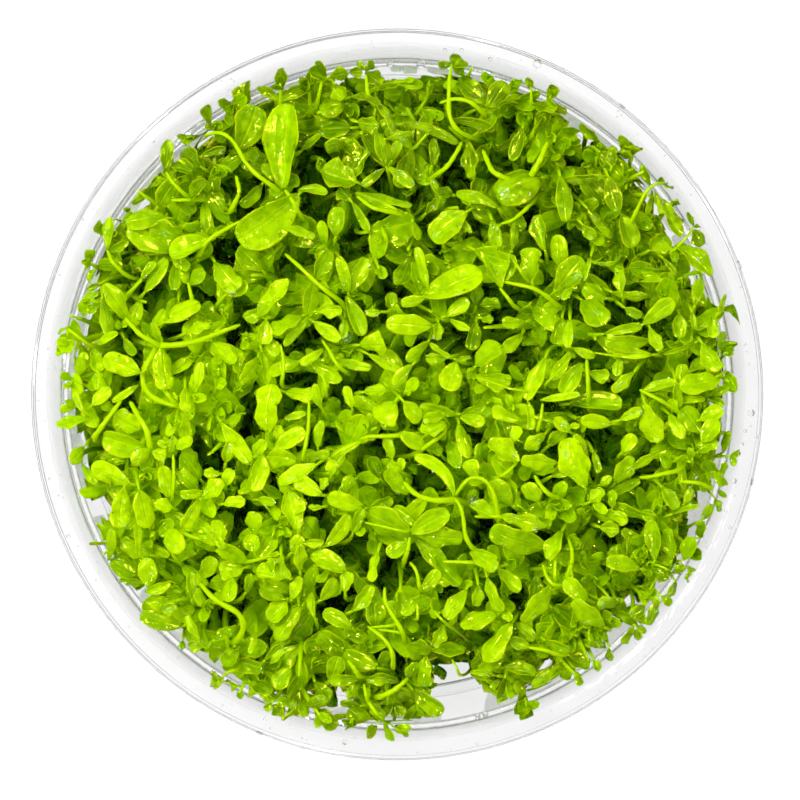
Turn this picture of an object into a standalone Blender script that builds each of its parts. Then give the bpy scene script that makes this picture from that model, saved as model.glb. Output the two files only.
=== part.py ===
"""A cup of pearlweed: a clear round culture cup, a bed of clear growing gel, and 37 rooted tufts.

Metres, +Z up. The origin is on the cup's axis, in the plane that its foot ring stands on.
A tuft is one plant that grew as one piece: a thicket of stems whose crown carries the leaves.
It stands on the gel inside a cell of its own, so neighbouring tufts never meet.
"""

import math
import random
from typing import NamedTuple

import bmesh
import bpy
from mathutils import Matrix, Vector

# Driving dimensions of the cup
RIM_RADIUS = 0.0500
CUP_HEIGHT = 0.0440
MOUTH_RADIUS = 0.0448
FLOOR_RADIUS = 0.0434
WALL = 0.0009
FLOOR_THICKNESS = 0.0014
LIP_WIDTH = 0.0008
FLANGE_DROP = 0.0018
SKIRT_HEIGHT = 0.0042
SKIRT_WALL = 0.0007
FOOT_RING_RADIUS = 0.0385
FOOT_RING_HALF_WIDTH = 0.0015
FOOT_RECESS = 0.0006
CORNER_RADIUS = 0.0030
CUP_SEGMENTS = 48
CORNER_STEPS = 3

# Driving dimensions of the gel
GEL_DEPTH = 0.0090
GEL_CLEARANCE = 0.0003
MENISCUS_RISE = 0.0008
MENISCUS_WIDTH = 0.0016

# Driving dimensions of the plants
TUFTS_PER_RING = (1, 6, 12, 18)
RING_RADII = (0.0, 0.0126, 0.0251, 0.0374)
PLACE_SPREAD = 0.0012
EDGE_RING_SPREAD = 0.0003
MAT_TOP_CENTRE = 0.0500
MAT_TOP_EDGE = 0.0476
TOP_SPREAD = 0.0013
INNER_LEAN = 0.0009
EDGE_LEAN = 0.0018
TUFT_GAP = 0.0003
WALL_GAP = 0.0004
LIP_GAP = 0.0006
OVERHANG_RADIUS = 0.0468
OVERHANG_STRETCH = 1.35
STEM_SIDES = 5
# The thicket of stems: the radius at its foot, then (depth under the tuft's top, radius) rings
FOOT_RADIUS = 0.0040
THICKET = ((0.0210, 0.0066), (0.0098, 0.0072))
# The crown's rings of stem, from the thicket to the bud: (depth under the tuft's top, radius)
CROWN = ((0.0078, 0.0020), (0.0052, 0.0017), (0.0029, 0.0014), (0.0011, 0.0010))
# Where the leaves of each crown row end: (depth under the tuft's top, distance from the stem)
LEAF_TIPS = ((0.0046, 0.0076), (0.0020, 0.0068), (-0.0002, 0.0048))
ROW_TWIST = 25
LEAF_SWING = 9
LEAF_SHARE = 0.88
LEAF_WIDTH = 0.0037
LEAF_THICKNESS = 0.0009
TIP_WIDTH = 0.0014
BELLY_SHARE = 0.56
LEAF_ARCH = 0.12
BUD_HEIGHT = 0.0020
SEED = 7


class Cell(NamedTuple):
    """The ground that one tuft may fill: its own place, its neighbours' places and its lean."""

    place: Vector
    neighbours: list
    lean: Vector
    at_edge: bool


def clear_scene():
    for thing in list(bpy.data.objects):
        bpy.data.objects.remove(thing)


def material(name, colour, roughness, alpha=1.0, transmission=0.0):
    made = bpy.data.materials.new(name)
    made.use_nodes = True
    made.diffuse_color = (*colour, alpha)
    shader = made.node_tree.nodes["Principled BSDF"]
    shader.inputs["Base Color"].default_value = (*colour, 1.0)
    shader.inputs["Roughness"].default_value = roughness
    shader.inputs["Metallic"].default_value = 0.0
    shader.inputs["Transmission Weight"].default_value = transmission
    return made


def add_object(name, mesh, finish):
    mesh.materials.append(finish)
    made = bpy.data.objects.new(name, mesh)
    bpy.context.scene.collection.objects.link(made)
    return made


def arc(centre, radius, start, end, steps):
    """Points of a round corner in the profile's plane, as (distance from the axis, height)."""
    points = []
    for step in range(steps + 1):
        angle = math.radians(start + (end - start) * step / steps)
        points.append((centre[0] + radius * math.cos(angle), centre[1] + radius * math.sin(angle)))
    return points


def turned(name, profile, finish, segments=CUP_SEGMENTS):
    """A closed solid turned about Z. The profile starts and ends on the axis, outer side first."""
    bm = bmesh.new()
    rings = []
    for radius, height in profile:
        if radius == 0.0:
            rings.append([bm.verts.new((0.0, 0.0, height))])
            continue
        ring = []
        for step in range(segments):
            angle = 2 * math.pi * step / segments
            ring.append(bm.verts.new((radius * math.cos(angle), radius * math.sin(angle), height)))
        rings.append(ring)
    for below, above in zip(rings, rings[1:]):
        for step in range(segments):
            after = (step + 1) % segments
            if len(below) == 1:
                bm.faces.new((below[0], above[after], above[step]))
            elif len(above) == 1:
                bm.faces.new((below[step], below[after], above[0]))
            else:
                bm.faces.new((below[step], below[after], above[after], above[step]))
    bmesh.ops.recalc_face_normals(bm, faces=bm.faces)
    mesh = bpy.data.meshes.new(name)
    bm.to_mesh(mesh)
    bm.free()
    mesh.shade_smooth()
    mesh.set_sharp_from_angle(angle=math.radians(35))
    return add_object(name, mesh, finish)


def wall_radius(height):
    """Inner radius of the cup's tapered wall at a height."""
    share = (height - FLOOR_THICKNESS) / (CUP_HEIGHT - FLOOR_THICKNESS)
    return FLOOR_RADIUS + (MOUTH_RADIUS - FLOOR_RADIUS) * share


def cup_profile():
    """The cup's section: recessed base, foot ring, tapered wall, skirted flange and lip."""
    outer_corner = FLOOR_RADIUS + WALL - CORNER_RADIUS
    inner_corner_radius = CORNER_RADIUS - WALL
    inner_corner = FLOOR_RADIUS - inner_corner_radius
    flange_top = CUP_HEIGHT - FLANGE_DROP
    flange_under = flange_top - SKIRT_WALL
    skirt_foot = flange_top - SKIRT_HEIGHT
    lip_outer = MOUTH_RADIUS + LIP_WIDTH
    return [
        (0.0, FOOT_RECESS),
        (FOOT_RING_RADIUS - FOOT_RING_HALF_WIDTH - FOOT_RECESS, FOOT_RECESS),
        (FOOT_RING_RADIUS - FOOT_RING_HALF_WIDTH, 0.0),
        (FOOT_RING_RADIUS + FOOT_RING_HALF_WIDTH, 0.0),
        *arc((outer_corner, CORNER_RADIUS), CORNER_RADIUS, -80, 0, CORNER_STEPS),
        (wall_radius(flange_under) + WALL, flange_under),
        (RIM_RADIUS - SKIRT_WALL, flange_under),
        (RIM_RADIUS - SKIRT_WALL, skirt_foot),
        (RIM_RADIUS, skirt_foot),
        (RIM_RADIUS, flange_top - SKIRT_WALL),
        (RIM_RADIUS - SKIRT_WALL, flange_top),
        (lip_outer + 2 * LIP_WIDTH, flange_top),
        (lip_outer, CUP_HEIGHT - 0.25 * FLANGE_DROP),
        (lip_outer, CUP_HEIGHT),
        (MOUTH_RADIUS, CUP_HEIGHT),
        *arc(
            (inner_corner, FLOOR_THICKNESS + inner_corner_radius),
            inner_corner_radius, 0, -90, CORNER_STEPS - 1,
        ),
        (0.0, FLOOR_THICKNESS),
    ]


def gel_top():
    return FLOOR_THICKNESS + GEL_DEPTH


def gel_profile():
    """A flat bed that fills the cup's bottom and climbs the wall a little at its edge."""
    corner = CORNER_RADIUS - WALL
    under = FLOOR_THICKNESS + GEL_CLEARANCE
    edge = wall_radius(gel_top()) - GEL_CLEARANCE
    return [
        (0.0, under),
        *arc(
            (FLOOR_RADIUS - corner, under + corner),
            corner - GEL_CLEARANCE, -90, -10, CORNER_STEPS - 1,
        ),
        (edge, gel_top() + MENISCUS_RISE),
        (edge - MENISCUS_WIDTH, gel_top()),
        (0.0, gel_top()),
    ]


def level_vector(angle, length):
    return Vector((length * math.cos(angle), length * math.sin(angle), 0.0))


def tuft_cells(rng):
    """The tufts' cells, on rings that fill the round mouth, each tuft a little off its ring."""
    places = []
    for ring, (count, radius) in enumerate(zip(TUFTS_PER_RING, RING_RADII)):
        at_edge = radius == RING_RADII[-1]
        for step in range(count):
            angle = 2 * math.pi * (step + 0.5 * (ring % 2)) / count
            spread = EDGE_RING_SPREAD if at_edge else PLACE_SPREAD
            outward = level_vector(angle, radius + rng.uniform(-spread, spread))
            sideways = level_vector(angle + math.pi / 2, rng.uniform(-PLACE_SPREAD, PLACE_SPREAD))
            places.append((outward + sideways, at_edge))
    cells = []
    for place, at_edge in places:
        neighbours = [other for other, _ in places if other is not place]
        heading = math.atan2(place.y, place.x) if at_edge else rng.uniform(0, 2 * math.pi)
        lean = level_vector(heading, EDGE_LEAN if at_edge else INNER_LEAN)
        cells.append(Cell(place, neighbours, lean, at_edge))
    return cells


def reach_limit(cell, direction, height):
    """How far a tuft may reach from its place in a level direction before it leaves its cell."""
    limit = 2 * RIM_RADIUS
    for neighbour in cell.neighbours:
        apart = neighbour - cell.place
        towards = direction.dot(apart) / apart.length
        if towards > 0:
            limit = min(limit, (apart.length - TUFT_GAP) / 2 / towards)
    edge = wall_radius(height) - WALL_GAP
    if height > CUP_HEIGHT + LIP_GAP:
        edge = OVERHANG_RADIUS
    along = cell.place.dot(direction)
    across_squared = cell.place.length_squared - along * along
    return min(limit, math.sqrt(edge * edge - across_squared) - along)


def inside_cell(cell, point):
    """The point, drawn back level towards the tuft's place until it lies inside its cell."""
    level = Vector((point.x - cell.place.x, point.y - cell.place.y, 0.0))
    limit = reach_limit(cell, level.normalized(), point.z)
    if level.length > limit:
        level *= limit / level.length
    return Vector((cell.place.x + level.x, cell.place.y + level.y, point.z))


def middle(corners):
    return sum((corner.co for corner in corners), Vector()) / len(corners)


def stem_axis(cell, top, height):
    """The leaning middle line of a tuft, which bends most near its top."""
    foot = gel_top() + GEL_CLEARANCE
    share = (height - foot) / (top - foot)
    level = cell.place + cell.lean * share ** 3
    return Vector((level.x, level.y, height))


def stem_rings(bm, cell, top, rng):
    """The corners of the stems, ring by ring: foot, thicket, and the crown's leafy stem."""
    levels = [(gel_top() + GEL_CLEARANCE, FOOT_RADIUS)]
    levels += [(top - depth, radius) for depth, radius in THICKET + CROWN]
    turn = rng.uniform(0, 2 * math.pi / STEM_SIDES)
    rings = []
    for number, (height, radius) in enumerate(levels):
        if number > len(THICKET) + 1:
            turn += math.radians(ROW_TWIST)
        ring = []
        for side in range(STEM_SIDES):
            outward = level_vector(turn + 2 * math.pi * side / STEM_SIDES, radius)
            ring.append(bm.verts.new(inside_cell(cell, stem_axis(cell, top, height) + outward)))
        rings.append(ring)
    return rings


def grow_leaf(bm, cell, root, tip, width):
    """A leaf on three corners of the stem: flat on top, keeled below, widest past its middle.

    The root's corners are the keel's, then the leaf's left and right as seen from its tip.
    """
    base = middle(root)
    along = tip - base
    across = along.cross(Vector((0, 0, 1))).normalized()
    upward = across.cross(along).normalized()
    belly = base + along * BELLY_SHARE + upward * (LEAF_ARCH * along.length)

    def corner(point):
        return bm.verts.new(inside_cell(cell, point))

    keel = corner(belly - upward * LEAF_THICKNESS)
    left = corner(belly - across * (width / 2))
    right = corner(belly + across * (width / 2))
    tip_left = corner(tip - across * (TIP_WIDTH / 2))
    tip_right = corner(tip + across * (TIP_WIDTH / 2))
    blade = (keel, left, right)
    for step in range(3):
        after = (step + 1) % 3
        bm.faces.new((root[step], root[after], blade[after], blade[step]))
    bm.faces.new((left, right, tip_right, tip_left))
    bm.faces.new((keel, left, tip_left))
    bm.faces.new((right, keel, tip_right))
    bm.faces.new((keel, tip_left, tip_right))


def leaf_tip(cell, root, top, row, rng):
    """Where a leaf of a crown row ends. At the wall the upper leaves reach out over the lip."""
    depth, reach = LEAF_TIPS[row]
    base = middle(root)
    axis = stem_axis(cell, top, base.z)
    swing = math.radians(rng.uniform(-LEAF_SWING, LEAF_SWING))
    outward = level_vector(math.atan2(base.y - axis.y, base.x - axis.x) + swing, 1.0)
    height = top - depth + rng.uniform(-TOP_SPREAD, TOP_SPREAD) / 2
    reach *= rng.uniform(0.90, 1.10)
    if cell.at_edge and row > 0 and outward.dot(cell.place.normalized()) > 0.5:
        reach *= OVERHANG_STRETCH
        height = max(height, CUP_HEIGHT + 2.5 * LIP_GAP)
    tip = axis + outward * reach
    tip.z = height
    return tip


def tuft(name, cell, top, finish, rng):
    """One rooted tuft: a thicket of stems whose crown carries rows of leaves, each row turned."""
    bm = bmesh.new()
    rings = stem_rings(bm, cell, top, rng)
    bm.faces.new(list(reversed(rings[0])))
    for number, (below, above) in enumerate(zip(rings, rings[1:])):
        row = number - len(THICKET) - 1
        for side in range(STEM_SIDES):
            after = (side + 1) % STEM_SIDES
            bm.faces.new((below[side], below[after], above[side]))
            root = (below[after], above[after], above[side])
            if row < 0 or rng.random() > LEAF_SHARE:
                bm.faces.new(root)
                continue
            tip = leaf_tip(cell, root, top, row, rng)
            grow_leaf(bm, cell, root, tip, LEAF_WIDTH * rng.uniform(0.85, 1.12))
    bud = bm.verts.new(middle(rings[-1]) + Vector((0, 0, BUD_HEIGHT)))
    for corner, after in zip(rings[-1], rings[-1][1:] + rings[-1][:1]):
        bm.faces.new((corner, after, bud))
    mesh = bpy.data.meshes.new(name)
    bm.to_mesh(mesh)
    bm.free()
    add_object(name, mesh, finish)


def tufts(finish):
    rng = random.Random(SEED)
    for number, cell in enumerate(tuft_cells(rng)):
        share = (cell.place.length / RING_RADII[-1]) ** 2
        top = MAT_TOP_CENTRE + (MAT_TOP_EDGE - MAT_TOP_CENTRE) * share
        top += rng.uniform(-TOP_SPREAD, TOP_SPREAD)
        tuft(f"tuft_{number + 1:02d}", cell, top, finish, rng)


def main():
    clear_scene()
    turned("cup", cup_profile(), material("clear_plastic", (0.95, 0.96, 0.96), 0.12, 0.3, 1.0))
    turned("growing_gel", gel_profile(), material("gel", (0.80, 0.88, 0.82), 0.10, 0.5, 0.9))
    tufts(material("leaf_green", (0.26, 0.48, 0.02), 0.35))


main()
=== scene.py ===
"""Looks for a cup of pearlweed: small wet leaves on thin stems, in clear gel, in a clear plastic cup.

Each tuft of the frame is replaced by its own sprigs. A sprig is a tapered stem tube with whorls of
fleshy leaves, all built as closed lofts with numpy. The leaves and bare stems that the photo shows
come first, from tables, and seeded random sprigs fill the mat around and under them. Lengths are
metres, angles radians, +Z up.
"""

import math
import random
from typing import NamedTuple

import bmesh
import bpy
import numpy as np
from mathutils import Matrix, Vector


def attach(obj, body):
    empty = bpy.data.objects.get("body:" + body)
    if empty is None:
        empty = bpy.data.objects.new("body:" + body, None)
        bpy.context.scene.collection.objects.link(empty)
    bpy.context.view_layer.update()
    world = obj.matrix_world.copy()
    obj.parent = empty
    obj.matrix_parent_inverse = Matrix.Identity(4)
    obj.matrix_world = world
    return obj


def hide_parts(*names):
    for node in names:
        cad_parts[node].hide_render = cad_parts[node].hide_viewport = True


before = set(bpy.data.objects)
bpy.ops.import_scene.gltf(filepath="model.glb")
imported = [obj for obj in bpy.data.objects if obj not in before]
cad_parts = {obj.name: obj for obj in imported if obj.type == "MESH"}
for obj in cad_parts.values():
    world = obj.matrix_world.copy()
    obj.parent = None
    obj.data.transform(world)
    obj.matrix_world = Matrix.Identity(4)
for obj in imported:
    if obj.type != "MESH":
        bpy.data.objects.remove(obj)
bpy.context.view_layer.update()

# The photo and its camera
PHOTO_SIZE = 800
RIM_CENTRE_PIXEL = (397.5, 395.0)
RIM_RADIUS_PIXELS = 366.6
CAMERA_DISTANCE = 1.0
CAMERA_FOOT = (-0.0165, 0.0330)
SENSOR_WIDTH = 36.0

# The cup and gel, as the frame has them
RIM_RADIUS = 0.0500
CUP_HEIGHT = 0.0440
MOUTH_RADIUS = 0.0448
FLOOR_RADIUS = 0.0434
FLOOR_THICKNESS = 0.0014
WALL = 0.0009
LIP_WIDTH = 0.0008
FLANGE_DROP = 0.0018
FLANGE_TOP = CUP_HEIGHT - FLANGE_DROP
SKIRT_HEIGHT = 0.0042
SKIRT_WALL = 0.0007
FOOT_RING_RADIUS = 0.0385
FOOT_RING_HALF_WIDTH = 0.0015
FOOT_RECESS = 0.0006
CORNER_RADIUS = 0.0030
CUP_SEGMENTS = 256
SHARP_DEGREES = 50
GEL_TOP = FLOOR_THICKNESS + 0.0090
MENISCUS_RISE = 0.0008
MENISCUS_WIDTH = 0.0016

# The mat's upper surface, and how far the plants may reach
MAT_MIDDLE_HEIGHT = 0.0488
MAT_EDGE_DROP = 0.0024
HILL_HEIGHT = 0.0009
MAT_CEILING = 0.0526
OVERHANG_RADIUS = 0.0474
OVERHANG_RISE = 0.0010
WALL_CLEARANCE = 0.0003
LIP_CLEARANCE = 0.0004
PRESS_MARGIN = 0.0009

# Leaf lofts: fine for the photo's own leaves, middle near the mat's top, plain deep in it.
# A rim point is (share of the half width, upper or lower face). The fine rim's upper sides are
# those between two points of the upper face
FINE_STATIONS = (0.0, 0.08, 0.18, 0.30, 0.43, 0.56, 0.69, 0.81, 0.91, 0.975)
FINE_RIM = (
    (-1.0, 0.0), (-0.92, 1.0), (-0.5, 1.0), (0.0, 1.0), (0.5, 1.0), (0.92, 1.0), (1.0, 0.0),
    (0.5, -1.0), (0.0, -1.0), (-0.5, -1.0),
)
FINE_UPPER_SIDES = (1, 2, 3, 4)
MIDDLE_STATIONS = (0.0, 0.12, 0.28, 0.46, 0.64, 0.80, 0.92, 0.98)
MIDDLE_RIM = ((-1.0, 0.0), (-0.88, 1.0), (0.0, 1.0), (0.88, 1.0), (1.0, 0.0), (0.0, -1.0))
PLAIN_STATIONS = (0.0, 0.22, 0.50, 0.78, 0.95)
PLAIN_RIM = ((-1.0, 0.0), (0.0, 1.0), (1.0, 0.0), (0.0, -1.0))
PLAIN_FROM_DEPTH = 0.50
LEAF_THICKNESS = 0.00016

# A blade's width at its stalk for its full width, the length of its tip for its own, and the
# small waves of its width and its margin: depth and pace from the stalk to the tip
STALK_SHARE = 0.15
TIP_SHARE = 0.03
NOTCH_DEPTH = 0.05
NOTCH_PACE = 14.0
WAVE_PACE = 11.0

# Stem lofts: sides, points along a path, radius, its change from the foot to the tip, and small
# swellings. Between the two heights a stem turns from dark to light, as painted shade low in the mat
STEM_SIDES = 5
STEM_STEPS = 12
STEM_RADIUS = 0.00042
STEM_TAPER = (1.25, 0.72)
STEM_TIP_SHARE = 0.5
STEM_SWELL = 0.12
STEM_SWELL_PACE = 1.7
STEM_DARK_HEIGHT = 0.030
STEM_LIGHT_HEIGHT = 0.0475

# The photo's own leaves: height for a step of tone, for a bare stem and over the lip, how far a
# blade's base lies under its tip, and how near in pixels two leaves share a stem
TONE_MIDDLE = 5
TONE_LIFT = 0.00042
STALK_LIFT = 0.0010
STALK_DIP = 0.0012
RIM_LIFT = 0.0008
OVER_LIP_FROM = MOUTH_RADIUS - 0.0006
BASE_DROP = 0.0006
SHARED_STEM_REACH = 7.0

# A bare stem's points on its way down and on its seen stretch, and its radius for its width
DIVE_STEPS = 9
SEEN_STEPS = 16
STALK_RADIUS_SHARE = 0.42

# How deep the photo's dark gaps stay open, and how deep down a leaf is in full shade
GAP_FLOOR = 0.030
DEPTH_SCALE = 0.0150

# Leaf tint, with painted light and shade by place: in the mat's middle, its change over one mouth
# radius to the right, upward and away from the middle line, and its fall near the wall. The painted
# light makes leaves yellower to the left, and painted shade darker away from the middle line and at the wall
MIDDLE_TINT = 0.97
TINT_RIGHT = -0.19
TINT_UPWARD = -0.26
TINT_AWAY = -0.90
TINT_AT_WALL = -1.2
WALL_SHADE_FROM = 0.86

# How the photo's own leaves get their tint and their painted shade from their tone and place: a
# higher tone gives a paler tint, partly own colour and partly painted light, and the place adds
# its painted light and shade
TONE_TINT = 0.62
TINT_PER_TONE = 0.1
PLACE_TINT_SHARE = 0.7
SHADE_BELOW_TONE = 5.5
SHADE_PER_TONE = 0.11

# Where stems are rooted under a tuft
FOOT_SPREAD = 0.0034
FOOT_DEPTH = 0.0013

# The mat's sprigs: spacing of their tips, how far under the top they end, how far down they have
# leaves in the middle and at the wall, and their scale
SCATTER_TRIES = 14000
TIP_SPACING = 0.0030
TIP_RADIUS = 0.0458
TIP_DEPTHS = (0.0, 0.0004, 0.0010, 0.0018, 0.0028, 0.0040, 0.0060, 0.0090)
LIP_TIPS_FROM = MOUTH_RADIUS - 0.0010
LIP_TIP_DEPTHS = (-0.0002, 0.0006)
LEAFY_DEPTH = 0.031
EDGE_LEAFY_DEPTH = 0.037
EDGE_FROM = 0.0400
SPRIG_SCALES = (0.90, 1.35)

# The low sprigs under them. Their low tint is painted shade
UNDER_SPACING = 0.0040
UNDER_RADIUS = 0.0410
UNDER_HEIGHTS = (0.019, 0.029)
UNDER_LEAFY_DEPTH = 0.020
UNDER_SCALE = 1.1
UNDER_TINT = 0.60

# The sprigs along the wall: how many from which to which degree, their reach, depth, scale and
# tint. Their low tint is painted shade at the wall
WALL_FILL = ((130, -78.0, 90.0), (215, -62.0, -26.0), (60, -40.0, 5.0), (90, 55.0, 92.0))
WALL_REACH = (0.0390, 0.0450)
WALL_DEPTHS = (0.0015, 0.0120)
WALL_LEAFY_DEPTH = 0.030
WALL_SCALES = (0.9, 1.2)
WALL_TINT = 0.50

# The studio. A spark is a small light that only the gloss shows, at x and y
FLOOR_HALF = 4.0
FLOOR_GREY = 0.16
FLOOR_GLOW = 0.95
SKY_STRENGTH = 0.80
KEY_PLACE = (-0.40, 0.30, 0.75)
KEY_SIZE = 0.45
KEY_POWER = 8.0
SPARKS = ((-0.22, 0.24), (0.26, 0.12), (-0.06, -0.30), (-0.46, 0.02), (0.14, 0.46))
SPARK_HEIGHT = 0.62
SPARK_SIZE = 0.05
SPARK_POWER = 5.0
LIT_HEIGHT = 0.045
VIEW_GAMMA = 1.42

SEED = 11

rng = random.Random(SEED)
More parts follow.
